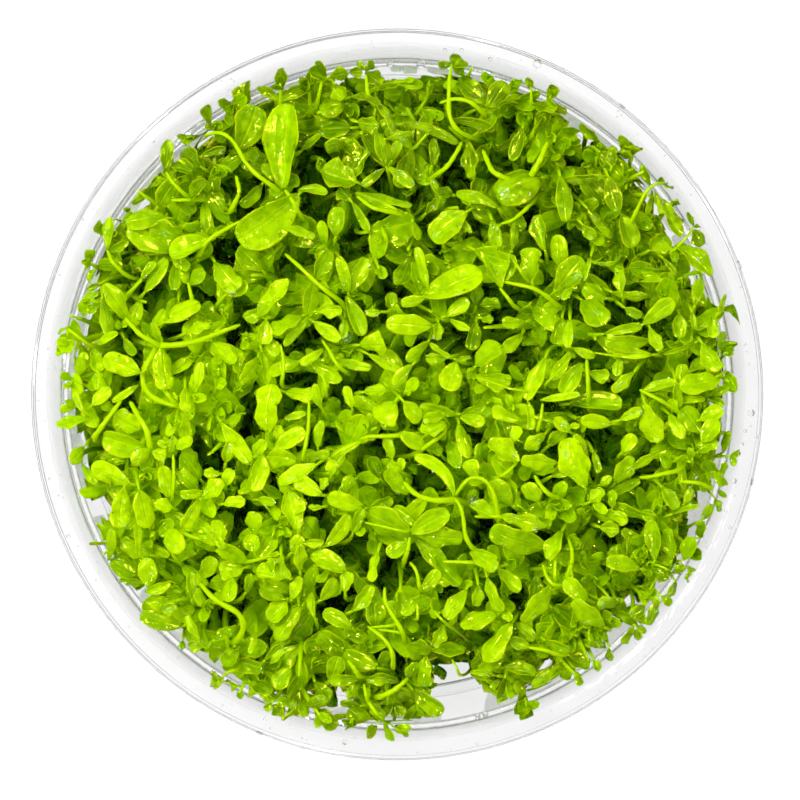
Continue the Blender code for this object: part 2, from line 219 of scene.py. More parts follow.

# What the photo shows, leaf by leaf, read off it in its own pixels.
# A blade is its base x and y, its tip x and y, its width, its tone from 0, dark and low, to 9, bright
# and on top, and where it curves sideways its turn in radians, right of the way it grows.
BLADES = (
    (165, 170, 168, 139, 14, 5), (172, 165, 192, 172, 14, 2), (200, 166, 184, 149, 18, 2),
    (158, 206, 176, 178, 22, 6), (107, 249, 110, 217, 12, 6), (108, 252, 128, 240, 10, 6),
    (150, 187, 132, 204, 9, 2), (151, 186, 160, 176, 9, 6), (170, 252, 128, 226, 26, 7),
    (166, 218, 126, 224, 20, 7), (183, 240, 152, 224, 26, 7), (172, 250, 190, 268, 14, 6),
    (207, 240, 170, 256, 20, 9), (210, 236, 186, 240, 10, 7), (182, 232, 200, 222, 14, 6),
    (239, 148, 256, 106, 32, 7), (284, 188, 288, 104, 34, 8), (298, 195, 238, 240, 36, 9),
    (298, 191, 327, 194, 9, 6, 1.0), (283, 185, 262, 165, 12, 6), (283, 187, 272, 196, 12, 5),
    (262, 185, 240, 205, 14, 5), (245, 152, 257, 160, 14, 2), (202, 156, 226, 148, 9, 2),
    (327, 78, 309, 70, 14, 6), (325, 76, 318, 60, 10, 6), (330, 76, 347, 72, 14, 7),
    (335, 84, 345, 98, 16, 7), (364, 70, 374, 62, 9, 6), (364, 70, 358, 62, 7, 6),
    (365, 72, 382, 84, 16, 6), (350, 72, 362, 70, 12, 6), (405, 90, 384, 92, 16, 2),
    (345, 104, 320, 112, 20, 2), (350, 97, 380, 106, 8, 6, 0.8), (374, 100, 394, 134, 9, 6),
    (358, 122, 379, 125, 16, 8), (350, 128, 320, 129, 24, 2), (345, 142, 326, 150, 15, 5),
    (386, 166, 378, 133, 13, 6), (388, 167, 413, 187, 12, 9), (385, 168, 362, 186, 9, 3),
    (392, 160, 400, 142, 10, 5), (386, 139, 412, 133, 8, 8), (355, 193, 398, 211, 8, 9),
    (356, 192, 412, 206, 9, 7), (352, 202, 369, 232, 9, 8), (356, 182, 322, 170, 30, 6),
    (348, 185, 368, 150, 22, 3), (350, 200, 338, 190, 16, 5), (336, 236, 338, 207, 17, 6),
    (370, 232, 415, 222, 34, 6), (301, 151, 321, 134, 7, 6), (284, 227, 315, 238, 10, 8),
    (451, 65, 438, 65, 9, 6), (453, 65, 468, 66, 9, 6), (450, 120, 495, 131, 10, 6, 0.7),
    (402, 124, 458, 145, 10, 6, 0.9), (468, 141, 471, 178, 16, 5), (541, 178, 496, 198, 36, 7),
    (523, 128, 512, 161, 13, 5), (498, 208, 456, 194, 12, 8, -0.7), (472, 200, 480, 178, 18, 2),
    (440, 196, 431, 179, 7, 8), (452, 195, 440, 188, 12, 5), (426, 213, 438, 199, 9, 5),
    (466, 212, 432, 240, 27, 8), (492, 220, 496, 248, 14, 8), (413, 222, 419, 240, 9, 8),
    (432, 165, 433, 138, 9, 4), (458, 212, 472, 233, 6, 5), (512, 250, 516, 222, 9, 5),
    (545, 250, 538, 215, 14, 5), (475, 250, 510, 262, 24, 8), (488, 108, 506, 82, 22, 5),
    (520, 98, 540, 92, 10, 2), (518, 95, 505, 100, 7, 8), (485, 104, 462, 82, 20, 2),
    (478, 132, 495, 115, 16, 5), (580, 131, 562, 129, 9, 2), (600, 142, 580, 124, 9, 5),
    (612, 166, 614, 146, 10, 5), (600, 152, 622, 178, 22, 2), (663, 184, 674, 188, 9, 5),
    (662, 184, 661, 177, 7, 5), (650, 185, 642, 165, 9, 5), (652, 190, 646, 215, 7, 5),
    (655, 190, 663, 214, 8, 5), (664, 200, 681, 237, 14, 5), (622, 215, 632, 248, 20, 5),
    (608, 176, 618, 212, 18, 5), (560, 176, 565, 222, 16, 8), (606, 176, 566, 180, 10, 5),
    (587, 208, 612, 238, 10, 5), (583, 225, 594, 238, 12, 8), (694, 226, 687, 212, 6, 5),
    (693, 230, 702, 246, 16, 5), (694, 227, 700, 224, 5, 5), (676, 244, 712, 275, 18, 8),
    (675, 245, 690, 258, 14, 2), (672, 246, 676, 262, 9, 5), (650, 250, 668, 236, 22, 5),
    (99, 284, 87, 290, 7, 2), (99, 291, 92, 297, 6, 5), (97, 303, 88, 314, 10, 5),
    (84, 340, 68, 326, 12, 6), (67, 328, 57, 333, 4, 5), (80, 335, 74, 319, 9, 5),
    (98, 345, 118, 333, 8, 8), (102, 296, 110, 338, 13, 5), (127, 320, 104, 284, 17, 6),
    (162, 347, 167, 390, 20, 8), (160, 342, 152, 322, 9, 5), (140, 372, 103, 358, 22, 9),
    (164, 322, 200, 303, 19, 8), (145, 292, 166, 258, 14, 5), (141, 279, 155, 262, 8, 5),
    (176, 262, 173, 290, 13, 5), (187, 256, 187, 284, 14, 5), (190, 285, 204, 270, 14, 5),
    (178, 300, 168, 318, 18, 5), (200, 310, 212, 303, 14, 2), (186, 333, 210, 326, 12, 8),
    (124, 338, 136, 354, 10, 2), (92, 405, 110, 388, 13, 8), (83, 412, 74, 391, 7, 8),
    (97, 368, 97, 390, 8, 5), (93, 348, 99, 372, 14, 5), (138, 385, 112, 402, 8, 6),
    (197, 388, 201, 362, 11, 6), (185, 388, 186, 412, 12, 7), (168, 395, 178, 400, 10, 6),
    (262, 270, 238, 248, 24, 4), (215, 262, 238, 290, 22, 6), (258, 316, 289, 280, 17, 8),
    (266, 306, 244, 318, 14, 6), (266, 320, 262, 344, 16, 8), (302, 316, 271, 332, 15, 6),
    (310, 316, 284, 346, 10, 6), (270, 338, 276, 356, 14, 6), (212, 342, 234, 364, 14, 8),
    (240, 368, 241, 352, 8, 6), (258, 358, 240, 382, 14, 6), (262, 352, 267, 386, 9, 6),
    (315, 280, 328, 250, 16, 6), (313, 282, 307, 314, 17, 6), (320, 280, 329, 290, 7, 6),
    (316, 311, 342, 310, 14, 9), (348, 292, 338, 256, 12, 8), (350, 292, 366, 258, 16, 7),
    (346, 296, 362, 336, 16, 6), (345, 318, 344, 338, 9, 6), (314, 322, 340, 340, 14, 8),
    (336, 360, 371, 368, 10, 6), (324, 349, 300, 364, 9, 8), (305, 358, 290, 354, 10, 2),
    (298, 362, 270, 375, 12, 6), (312, 364, 342, 380, 14, 6), (323, 410, 316, 384, 9, 6),
    (352, 408, 346, 386, 10, 8), (268, 433, 273, 384, 25, 8), (285, 392, 314, 396, 14, 6),
    (424, 296, 482, 272, 28, 8), (428, 292, 417, 247, 10, 8), (420, 292, 412, 262, 18, 6),
    (410, 256, 398, 285, 20, 2), (426, 297, 401, 303, 12, 8), (390, 308, 389, 293, 13, 6),
    (381, 312, 366, 313, 9, 8), (432, 326, 386, 323, 22, 9), (432, 312, 449, 320, 8, 6),
    (446, 316, 469, 300, 15, 8), (450, 319, 470, 329, 8, 8), (438, 322, 436, 340, 11, 6),
    (454, 359, 430, 343, 6, 8), (428, 342, 407, 362, 13, 6), (412, 365, 394, 386, 14, 8),
    (396, 388, 384, 380, 10, 6), (446, 358, 426, 358, 12, 6), (456, 360, 470, 356, 6, 6),
    (456, 362, 446, 390, 24, 8), (476, 366, 500, 344, 20, 6), (476, 376, 511, 382, 17, 6),
    (522, 334, 500, 349, 14, 8), (525, 322, 502, 322, 12, 8), (501, 288, 480, 248, 22, 8),
    (500, 285, 512, 254, 18, 6), (482, 318, 492, 322, 10, 6), (476, 322, 470, 350, 16, 2),
    (476, 306, 474, 284, 14, 2), (480, 306, 500, 304, 14, 2), (360, 345, 385, 345, 20, 8),
    (368, 354, 402, 372, 10, 6), (364, 392, 386, 390, 12, 6), (532, 280, 534, 248, 20, 6),
    (556, 290, 582, 258, 26, 6), (591, 256, 583, 281, 6, 8), (572, 288, 562, 300, 8, 8),
    (596, 263, 616, 262, 5, 8), (622, 294, 620, 266, 12, 8), (612, 292, 648, 296, 10, 6),
    (606, 298, 584, 286, 18, 6), (582, 300, 602, 326, 24, 6), (562, 308, 543, 308, 12, 6),
    (562, 318, 554, 344, 18, 7), (570, 320, 568, 348, 10, 8), (573, 348, 595, 357, 10, 6),
    (570, 352, 552, 380, 12, 6), (545, 358, 526, 400, 15, 8), (540, 400, 580, 394, 8, 8),
    (590, 372, 609, 376, 14, 7), (582, 364, 562, 394, 18, 6), (650, 340, 605, 340, 18, 8),
    (604, 334, 642, 326, 10, 6), (634, 372, 612, 391, 12, 8), (620, 358, 617, 376, 11, 6),
    (652, 355, 612, 350, 12, 7), (650, 328, 661, 350, 12, 8), (643, 324, 674, 300, 18, 8),
    (625, 308, 642, 316, 10, 6), (641, 392, 676, 382, 10, 6), (682, 278, 700, 273, 5, 5),
    (695, 305, 700, 279, 13, 5), (718, 314, 726, 294, 5, 5), (712, 316, 713, 338, 13, 8),
    (720, 350, 723, 331, 9, 5), (703, 344, 722, 368, 18, 8), (727, 371, 737, 391, 13, 5),
    (712, 394, 729, 386, 10, 5), (708, 396, 725, 404, 9, 2), (720, 380, 680, 388, 20, 8),
    (676, 382, 673, 412, 13, 8), (695, 343, 663, 354, 5, 5), (692, 312, 694, 328, 7, 5),
    (679, 314, 680, 338, 14, 5), (663, 258, 678, 275, 6, 4), (86, 418, 56, 425, 14, 5),
    (140, 430, 114, 415, 22, 7), (145, 448, 103, 436, 26, 5), (150, 450, 131, 462, 16, 8),
    (152, 452, 166, 457, 13, 8), (170, 447, 158, 441, 9, 7), (172, 452, 173, 436, 10, 7),
    (176, 448, 193, 440, 13, 7), (168, 498, 162, 466, 15, 8), (84, 447, 70, 462, 14, 5),
    (82, 464, 97, 484, 10, 4), (130, 484, 91, 467, 20, 8), (124, 488, 119, 528, 21, 8),
    (139, 490, 148, 528, 22, 9), (172, 508, 155, 504, 14, 8), (200, 500, 183, 528, 15, 8),
    (203, 492, 180, 494, 12, 8), (203, 497, 224, 482, 16, 8), (220, 474, 204, 472, 11, 8),
    (200, 479, 181, 453, 20, 3), (198, 490, 178, 472, 14, 4), (108, 560, 112, 529, 10, 6),
    (166, 530, 183, 551, 22, 6), (136, 514, 138, 556, 9, 7), (150, 555, 122, 540, 18, 5),
    (275, 449, 305, 430, 17, 8), (283, 420, 306, 413, 8, 7), (278, 441, 278, 425, 11, 8),
    (318, 448, 322, 420, 9, 6), (306, 457, 330, 452, 9, 6), (316, 465, 279, 485, 17, 9),
    (330, 458, 359, 443, 7, 8), (331, 475, 334, 460, 11, 8), (297, 461, 267, 456, 20, 7),
    (252, 457, 266, 441, 12, 6), (262, 455, 250, 490, 19, 8), (222, 424, 250, 463, 17, 7),
    (226, 462, 229, 441, 14, 8), (226, 484, 233, 470, 13, 8), (224, 504, 245, 503, 11, 8),
    (258, 500, 275, 502, 10, 6), (254, 488, 238, 493, 6, 7), (262, 485, 281, 497, 12, 2),
    (298, 530, 288, 492, 22, 8), (290, 515, 305, 500, 14, 7), (322, 495, 295, 478, 18, 8),
    (364, 508, 328, 496, 18, 8), (353, 533, 362, 508, 11, 7), (325, 546, 348, 514, 16, 8),
    (322, 507, 309, 508, 6, 8), (318, 540, 303, 520, 20, 3), (338, 500, 352, 476, 14, 4),
    (322, 490, 328, 478, 9, 7), (222, 542, 218, 520, 17, 8), (252, 532, 256, 512, 16, 7),
    (254, 552, 252, 534, 17, 8), (228, 546, 216, 544, 9, 8), (292, 552, 300, 535, 14, 8),
    (302, 542, 324, 541, 9, 8), (460, 414, 485, 404, 13, 6), (460, 417, 485, 423, 12, 7),
    (476, 412, 492, 412, 12, 3), (456, 414, 420, 405, 10, 6), (446, 416, 423, 418, 13, 8),
    (446, 424, 421, 432, 17, 8), (459, 424, 469, 459, 15, 6), (450, 440, 459, 468, 15, 3),
    (478, 470, 480, 443, 9, 4), (476, 478, 468, 460, 16, 7), (518, 462, 488, 443, 20, 9),
    (512, 476, 492, 458, 20, 7), (512, 442, 520, 427, 12, 8), (520, 420, 492, 408, 14, 8),
    (508, 440, 500, 417, 18, 2), (454, 497, 414, 457, 13, 9, -1.5), (408, 494, 384, 472, 15, 9),
    (402, 472, 389, 462, 12, 8), (400, 472, 402, 458, 9, 8), (392, 459, 384, 438, 12, 7),
    (427, 449, 401, 434, 15, 7), (395, 402, 378, 421, 26, 7), (404, 402, 420, 421, 16, 8),
    (398, 430, 382, 418, 14, 4), (498, 517, 470, 505, 14, 8), (502, 516, 547, 526, 18, 9),
    (548, 548, 490, 530, 26, 5), (418, 525, 394, 507, 14, 6), (411, 533, 449, 512, 22, 7),
    (414, 533, 463, 538, 20, 6), (411, 535, 368, 512, 30, 6), (408, 542, 388, 556, 16, 5),
    (416, 540, 446, 568, 18, 3), (474, 550, 497, 560, 14, 9), (512, 506, 492, 480, 22, 6),
    (520, 506, 506, 480, 20, 6), (380, 478, 370, 458, 14, 1), (366, 512, 392, 498, 14, 5),
    (441, 455, 434, 448, 10, 3), (528, 401, 531, 430, 9, 8), (570, 432, 554, 419, 13, 8),
    (568, 427, 580, 426, 6, 8), (612, 424, 581, 420, 15, 8), (570, 404, 622, 406, 18, 3),
    (620, 420, 642, 409, 11, 8), (645, 404, 656, 443, 22, 9), (545, 434, 525, 449, 14, 8),
    (548, 446, 564, 430, 14, 5), (585, 487, 568, 438, 26, 9), (588, 460, 575, 434, 12, 6),
    (593, 452, 599, 473, 8, 8), (622, 452, 635, 435, 14, 8), (615, 483, 631, 456, 18, 8),
    (623, 474, 661, 450, 9, 9), (600, 485, 611, 476, 9, 8), (612, 508, 614, 490, 10, 7),
    (590, 502, 604, 490, 13, 8), (662, 487, 677, 509, 14, 6), (606, 511, 628, 520, 13, 8),
    (600, 527, 619, 528, 15, 7), (593, 502, 607, 513, 9, 8), (562, 531, 549, 560, 15, 7),
    (538, 502, 524, 484, 18, 8), (557, 463, 521, 460, 16, 8), (552, 476, 572, 462, 14, 5),
    (604, 500, 655, 518, 12, 4), (600, 500, 640, 480, 10, 3), (640, 512, 655, 520, 12, 5),
    (674, 412, 674, 399, 11, 8), (669, 414, 683, 439, 13, 8), (700, 432, 682, 408, 24, 5),
    (700, 420, 723, 410, 15, 8), (702, 442, 718, 420, 18, 7), (698, 452, 718, 442, 12, 6),
    (724, 452, 730, 431, 9, 3), (730, 456, 741, 452, 8, 6), (730, 457, 738, 464, 9, 6),
    (720, 478, 706, 460, 15, 2), (720, 476, 726, 462, 8, 5), (714, 470, 727, 486, 10, 3),
    (718, 490, 727, 497, 6, 3), (692, 458, 690, 448, 8, 6), (684, 504, 692, 488, 10, 6),
    (672, 514, 700, 506, 6, 6), (715, 498, 719, 512, 8, 3), (702, 520, 712, 504, 10, 5),
    (700, 538, 704, 521, 10, 3), (684, 560, 696, 540, 16, 7), (655, 560, 652, 520, 16, 6),
    (672, 560, 668, 528, 14, 6), (137, 575, 111, 560, 22, 3), (143, 583, 119, 581, 11, 3),
    (150, 588, 146, 558, 20, 7), (145, 592, 170, 582, 12, 7), (176, 600, 145, 600, 15, 7),
    (160, 612, 175, 604, 14, 8), (182, 626, 140, 615, 20, 4), (192, 598, 190, 572, 10, 7),
    (203, 578, 210, 556, 20, 8), (243, 568, 220, 563, 20, 8), (232, 578, 229, 602, 15, 7),
    (246, 592, 250, 574, 10, 6), (183, 641, 181, 649, 7, 3), (188, 645, 201, 646, 12, 3),
    (200, 642, 210, 647, 8, 4), (208, 646, 218, 660, 12, 5), (237, 650, 226, 667, 16, 4),
    (222, 682, 203, 689, 14, 3), (241, 686, 223, 684, 12, 3), (240, 690, 241, 699, 8, 5),
    (256, 632, 249, 654, 7, 8), (200, 640, 188, 615, 9, 7), (215, 640, 232, 632, 12, 5),
    (284, 578, 256, 572, 18, 8), (284, 599, 260, 588, 13, 8), (281, 556, 292, 580, 9, 8),
    (300, 571, 300, 545, 12, 9), (270, 570, 274, 559, 9, 7), (345, 572, 311, 556, 20, 8),
    (292, 599, 301, 577, 12, 8), (321, 600, 335, 578, 14, 8), (345, 592, 350, 572, 12, 7),
    (315, 618, 312, 592, 9, 6), (286, 602, 271, 622, 20, 7), (302, 606, 276, 641, 18, 6),
    (290, 640, 312, 612, 22, 2), (352, 628, 323, 612, 15, 6), (352, 611, 371, 585, 14, 8),
    (378, 552, 373, 582, 11, 8), (375, 628, 372, 593, 20, 5), (345, 652, 320, 632, 22, 3),
    (377, 668, 344, 652, 20, 5), (398, 682, 366, 680, 12, 5, -1.3), (358, 680, 329, 680, 13, 5),
    (330, 680, 338, 656, 18, 5), (360, 681, 347, 698, 12, 2), (315, 682, 330, 700, 16, 3),
    (290, 668, 276, 689, 16, 6), (265, 660, 284, 642, 9, 7), (270, 664, 284, 650, 7, 8),
    (400, 592, 396, 617, 17, 7), (415, 600, 404, 616, 12, 7), (422, 592, 439, 570, 14, 7),
    (435, 556, 460, 585, 20, 5), (470, 552, 496, 570, 16, 8), (500, 570, 520, 591, 14, 8),
    (487, 577, 502, 612, 13, 8), (478, 585, 475, 606, 12, 8), (466, 590, 446, 619, 16, 8),
    (497, 614, 461, 627, 17, 9), (503, 608, 512, 620, 11, 7), (512, 623, 485, 662, 20, 9),
    (505, 650, 480, 670, 16, 6), (514, 623, 535, 640, 14, 5), (530, 646, 510, 640, 12, 5),
    (552, 585, 523, 622, 20, 8), (552, 608, 574, 626, 22, 1), (530, 602, 536, 576, 14, 3),
    (545, 640, 570, 650, 10, 5), (432, 650, 465, 650, 15, 4), (426, 655, 426, 687, 15, 5),
    (443, 624, 433, 646, 13, 8), (432, 650, 408, 645, 18, 6), (451, 626, 455, 612, 9, 8),
    (497, 676, 470, 672, 6, 4), (500, 680, 492, 690, 6, 3), (505, 678, 497, 699, 8, 3),
    (508, 680, 511, 699, 8, 2), (503, 668, 536, 674, 14, 3), (567, 662, 532, 687, 12, 2),
    (640, 569, 606, 562, 16, 8), (588, 600, 566, 578, 17, 8), (604, 627, 574, 600, 22, 8),
    (620, 602, 597, 603, 13, 7), (645, 606, 630, 616, 14, 6), (688, 573, 673, 570, 15, 2),
    (689, 573, 699, 573, 7, 5), (688, 575, 692, 583, 7, 5), (669, 578, 655, 575, 13, 1),
    (676, 582, 668, 596, 9, 4), (661, 596, 672, 605, 10, 5), (657, 600, 648, 625, 11, 4),
    (636, 626, 646, 633, 8, 4), (637, 628, 640, 640, 8, 4), (638, 626, 620, 612, 10, 2),
    (634, 626, 622, 644, 10, 4), (609, 648, 610, 661, 8, 4), (594, 660, 599, 671, 9, 4),
    (565, 655, 590, 666, 16, 2), (606, 648, 596, 640, 8, 3), (408, 678, 417, 662, 13, 5),
    (413, 690, 443, 713, 18, 5), (418, 688, 431, 693, 10, 3), (420, 686, 438, 684, 7, 2),
    (410, 700, 396, 690, 16, 2), (392, 703, 384, 716, 8, 2), (395, 704, 403, 716, 9, 2),
    (394, 704, 395, 722, 6, 2), (360, 706, 340, 704, 9, 2), (368, 703, 384, 720, 10, 4),
    (384, 720, 394, 743, 8, 6), (250, 682, 271, 694, 14, 2), (272, 703, 264, 709, 9, 5),
    (276, 701, 260, 690, 14, 3), (297, 706, 277, 700, 11, 3), (300, 702, 306, 717, 13, 6),
    (306, 706, 327, 698, 14, 5), (296, 700, 292, 710, 8, 5), (300, 690, 290, 702, 14, 2),
    (240, 660, 262, 668, 16, 4),
)

# A bare stem is its width, its tone and its points, from its free end to where it goes down
STALKS = (
    (5, 6, (166, 172), (172, 182), (185, 195)), (5, 6, (107, 250), (112, 262), (125, 275)),
    (5, 6, (172, 250), (185, 262)), (6, 8, (241, 221), (222, 231), (206, 241), (200, 255)),
    (6, 9, (204, 136), (213, 131), (222, 131), (234, 139), (239, 152), (246, 165), (260, 178), (276, 188)),
    (6, 7, (285, 190), (292, 200), (300, 215)), (6, 7, (236, 176), (240, 192), (231, 211)),
    (5, 6, (322, 80), (320, 90), (318, 100)), (5, 6, (366, 75), (368, 95)),
    (6, 8, (357, 196), (372, 208), (400, 214)),
    (6, 7, (452, 64), (449, 80), (449, 98), (448, 115), (455, 130), (470, 137)),
    (6, 8, (440, 103), (455, 98), (470, 101), (483, 112)),
    (6, 8, (462, 142), (457, 152), (447, 167), (439, 173)), (7, 7, (483, 150), (492, 172), (510, 180)),
    (8, 6, (548, 142), (540, 160), (530, 178)), (5, 8, (501, 224), (512, 221), (524, 211), (532, 203)),
    (5, 6, (665, 183), (656, 183), (649, 187), (643, 196), (636, 212), (630, 225)),
    (4, 6, (694, 226), (688, 236), (682, 242), (675, 250)),
    (5, 6, (66, 327), (72, 332), (82, 340), (92, 347)), (7, 9, (125, 318), (140, 335), (158, 345)),
    (7, 8, (240, 325), (215, 334), (200, 341), (180, 345), (160, 346)),
    (8, 8, (177, 407), (160, 402), (147, 394), (141, 380), (145, 365), (155, 352)),
    (5, 7, (188, 283), (192, 300)), (5, 8, (280, 345), (284, 360), (283, 375), (281, 385)),
    (6, 9, (285, 254), (300, 267), (313, 280), (330, 294), (342, 302)),
    (5, 7, (322, 340), (330, 352), (337, 365), (345, 372)), (5, 8, (321, 372), (326, 385), (326, 395)),
    (3, 9, (478, 378), (495, 383), (510, 389), (527, 391)),
    (6, 9, (505, 282), (520, 285), (535, 288), (548, 297), (558, 306)),
    (5, 7, (500, 288), (508, 298), (514, 306)), (4, 7, (510, 255), (520, 270), (525, 278)),
    (3, 8, (595, 353), (620, 357)), (3, 9, (572, 357), (560, 370), (546, 384)),
    (6, 7, (587, 360), (588, 380), (589, 400)), (6, 7, (640, 390), (660, 400), (680, 412)),
    (5, 6, (727, 371), (710, 382)), (7, 8, (121, 401), (108, 418), (94, 437)),
    (8, 8, (130, 402), (141, 421), (147, 430), (150, 447)), (5, 7, (173, 455), (174, 480), (172, 498)),
    (5, 6, (200, 540), (188, 536)), (5, 9, (309, 400), (309, 418), (308, 432), (305, 448), (302, 459)),
    (6, 6, (447, 427), (444, 434), (432, 442), (420, 452)),
    (8, 9, (404, 482), (413, 493), (425, 499), (440, 501), (455, 500)),
    (6, 8, (455, 496), (461, 488), (466, 478), (474, 475), (489, 481), (495, 497), (499, 517)),
    (6, 8, (455, 498), (461, 507), (464, 520), (464, 532), (468, 543), (474, 550)),
    (5, 8, (475, 517), (501, 517)), (5, 7, (519, 460), (510, 470), (500, 478)),
    (6, 7, (365, 437), (400, 436)), (6, 7, (410, 538), (408, 550), (405, 560)),
    (4, 8, (365, 523), (385, 527), (408, 533)), (5, 8, (543, 404), (541, 418), (538, 431)),
    (5, 8, (534, 417), (552, 422)), (6, 8, (535, 476), (540, 485), (548, 494), (558, 498)),
    (6, 8, (640, 478), (650, 477), (662, 474), (680, 471)),
    (6, 7, (680, 482), (690, 482), (700, 483), (712, 489)), (5, 7, (569, 540), (572, 550), (572, 562)),
    (8, 9, (200, 583), (207, 593), (216, 601), (226, 607), (236, 610), (243, 617), (245, 628), (238, 641)),
    (5, 6, (222, 678), (228, 672), (238, 670)),
    (6, 8, (385, 588), (384, 600), (390, 612), (397, 622), (403, 632), (404, 638)),
    (4, 6, (370, 628), (395, 626)), (4, 6, (378, 630), (398, 632), (404, 636)),
    (6, 7, (368, 627), (380, 635), (388, 643), (393, 653), (393, 667)),
    (6, 7, (348, 661), (354, 668), (359, 677)), (7, 7, (408, 679), (403, 683), (395, 690), (380, 698)),
    (5, 7, (364, 685), (366, 695), (368, 703)),
    (5, 9, (410, 563), (415, 568), (418, 576), (419, 586), (421, 590)),
    (5, 7, (443, 562), (475, 563)), (4, 8, (434, 611), (441, 619), (448, 625)),
    (5, 8, (543, 565), (547, 578), (553, 585), (561, 586)), (5, 8, (556, 555), (555, 578)),
    (6, 8, (573, 550), (572, 562), (568, 576)), (6, 7, (529, 648), (545, 650), (563, 657)),
    (4, 5, (452, 660), (457, 668), (459, 675)), (4, 9, (417, 604), (418, 619)),
    (7, 6, (150, 370), (163, 388), (175, 405)), (5, 7, (384, 720), (376, 713), (368, 702)),
)

# A gap is its middle x and y and its radius. A dark gap shows the deep mat, a white gap the cup
DARK_GAPS = (
    (232, 188, 8), (247, 187, 10), (250, 210, 8), (222, 145, 8), (205, 150, 5), (160, 219, 4),
    (143, 246, 5), (230, 245, 8), (125, 248, 5), (273, 122, 6), (255, 190, 9), (305, 202, 12),
    (330, 186, 5), (377, 183, 7), (372, 212, 8), (388, 203, 12), (357, 240, 12), (343, 250, 8),
    (303, 155, 5), (322, 150, 5), (262, 143, 5), (295, 254, 8), (370, 104, 5), (412, 100, 8),
    (438, 98, 9), (475, 118, 7), (510, 128, 8), (505, 165, 10), (537, 172, 6), (435, 135, 7),
    (450, 155, 9), (455, 170, 10), (450, 185, 9), (405, 208, 6), (425, 225, 7), (466, 236, 5),
    (435, 245, 7), (505, 228, 4), (530, 245, 6), (465, 215, 4), (520, 258, 5), (532, 212, 6),
    (458, 106, 7), (571, 165, 6), (564, 230, 5), (582, 240, 6), (157, 303, 10), (148, 280, 5),
    (125, 287, 5), (104, 340, 5), (105, 347, 6), (116, 318, 6), (132, 338, 5), (135, 360, 7),
    (195, 290, 6), (177, 327, 5), (120, 352, 3), (160, 283, 4), (175, 350, 5), (133, 397, 9),
    (125, 405, 8), (290, 268, 9), (335, 283, 6), (240, 312, 5), (230, 341, 9), (305, 328, 5),
    (290, 350, 7), (300, 345, 5), (330, 325, 8), (308, 382, 9), (292, 378, 5), (254, 400, 5),
    (255, 322, 4), (229, 266, 4), (350, 262, 4), (361, 307, 3), (295, 261, 5), (352, 390, 3),
    (392, 265, 8), (380, 290, 8), (402, 295, 7), (418, 307, 6), (373, 325, 7), (377, 375, 8),
    (450, 300, 5), (463, 293, 6), (495, 292, 9), (446, 330, 6), (455, 333, 8), (500, 318, 4),
    (493, 335, 8), (475, 353, 5), (425, 355, 6), (420, 362, 6), (447, 365, 4), (515, 358, 9),
    (515, 288, 5), (462, 396, 8), (520, 258, 4), (518, 340, 4), (577, 307, 6), (535, 295, 5),
    (611, 315, 9), (640, 305, 10), (633, 325, 4), (668, 330, 10), (570, 365, 5), (600, 390, 11),
    (528, 358, 8), (598, 362, 6), (647, 338, 4), (637, 375, 7), (607, 280, 8), (568, 318, 3),
    (567, 256, 4), (553, 407, 5), (590, 345, 5), (630, 395, 6), (662, 395, 5), (124, 408, 8),
    (102, 431, 4), (104, 443, 7), (126, 470, 7), (193, 452, 4), (217, 460, 5), (205, 480, 6),
    (205, 462, 5), (343, 548, 11), (268, 475, 7), (254, 407, 6), (247, 427, 9), (298, 448, 3),
    (310, 512, 7), (330, 440, 8), (236, 521, 6), (245, 508, 6), (288, 407, 6), (270, 490, 6),
    (381, 431, 4), (413, 426, 6), (396, 447, 6), (395, 409, 4), (404, 453, 5), (480, 435, 8),
    (443, 452, 6), (427, 482, 10), (398, 502, 8), (480, 499, 4), (480, 531, 8), (431, 537, 5),
    (455, 546, 10), (420, 553, 8), (512, 509, 4), (387, 540, 4), (533, 453, 5), (554, 443, 9),
    (582, 434, 4), (600, 437, 9), (590, 461, 5), (554, 406, 5), (607, 462, 7), (652, 463, 10),
    (532, 480, 5), (545, 482, 5), (608, 502, 6), (611, 540, 7), (635, 525, 9), (538, 548, 9),
    (613, 487, 4), (632, 481, 6), (697, 497, 4), (213, 576, 7), (228, 613, 7), (246, 600, 5),
    (336, 603, 13), (385, 583, 11), (265, 637, 5), (402, 665, 9), (378, 655, 5), (464, 640, 12),
    (437, 665, 7), (488, 597, 3), (450, 593, 6), (521, 600, 7), (427, 563, 9), (606, 594, 5),
    (566, 598, 3),
)
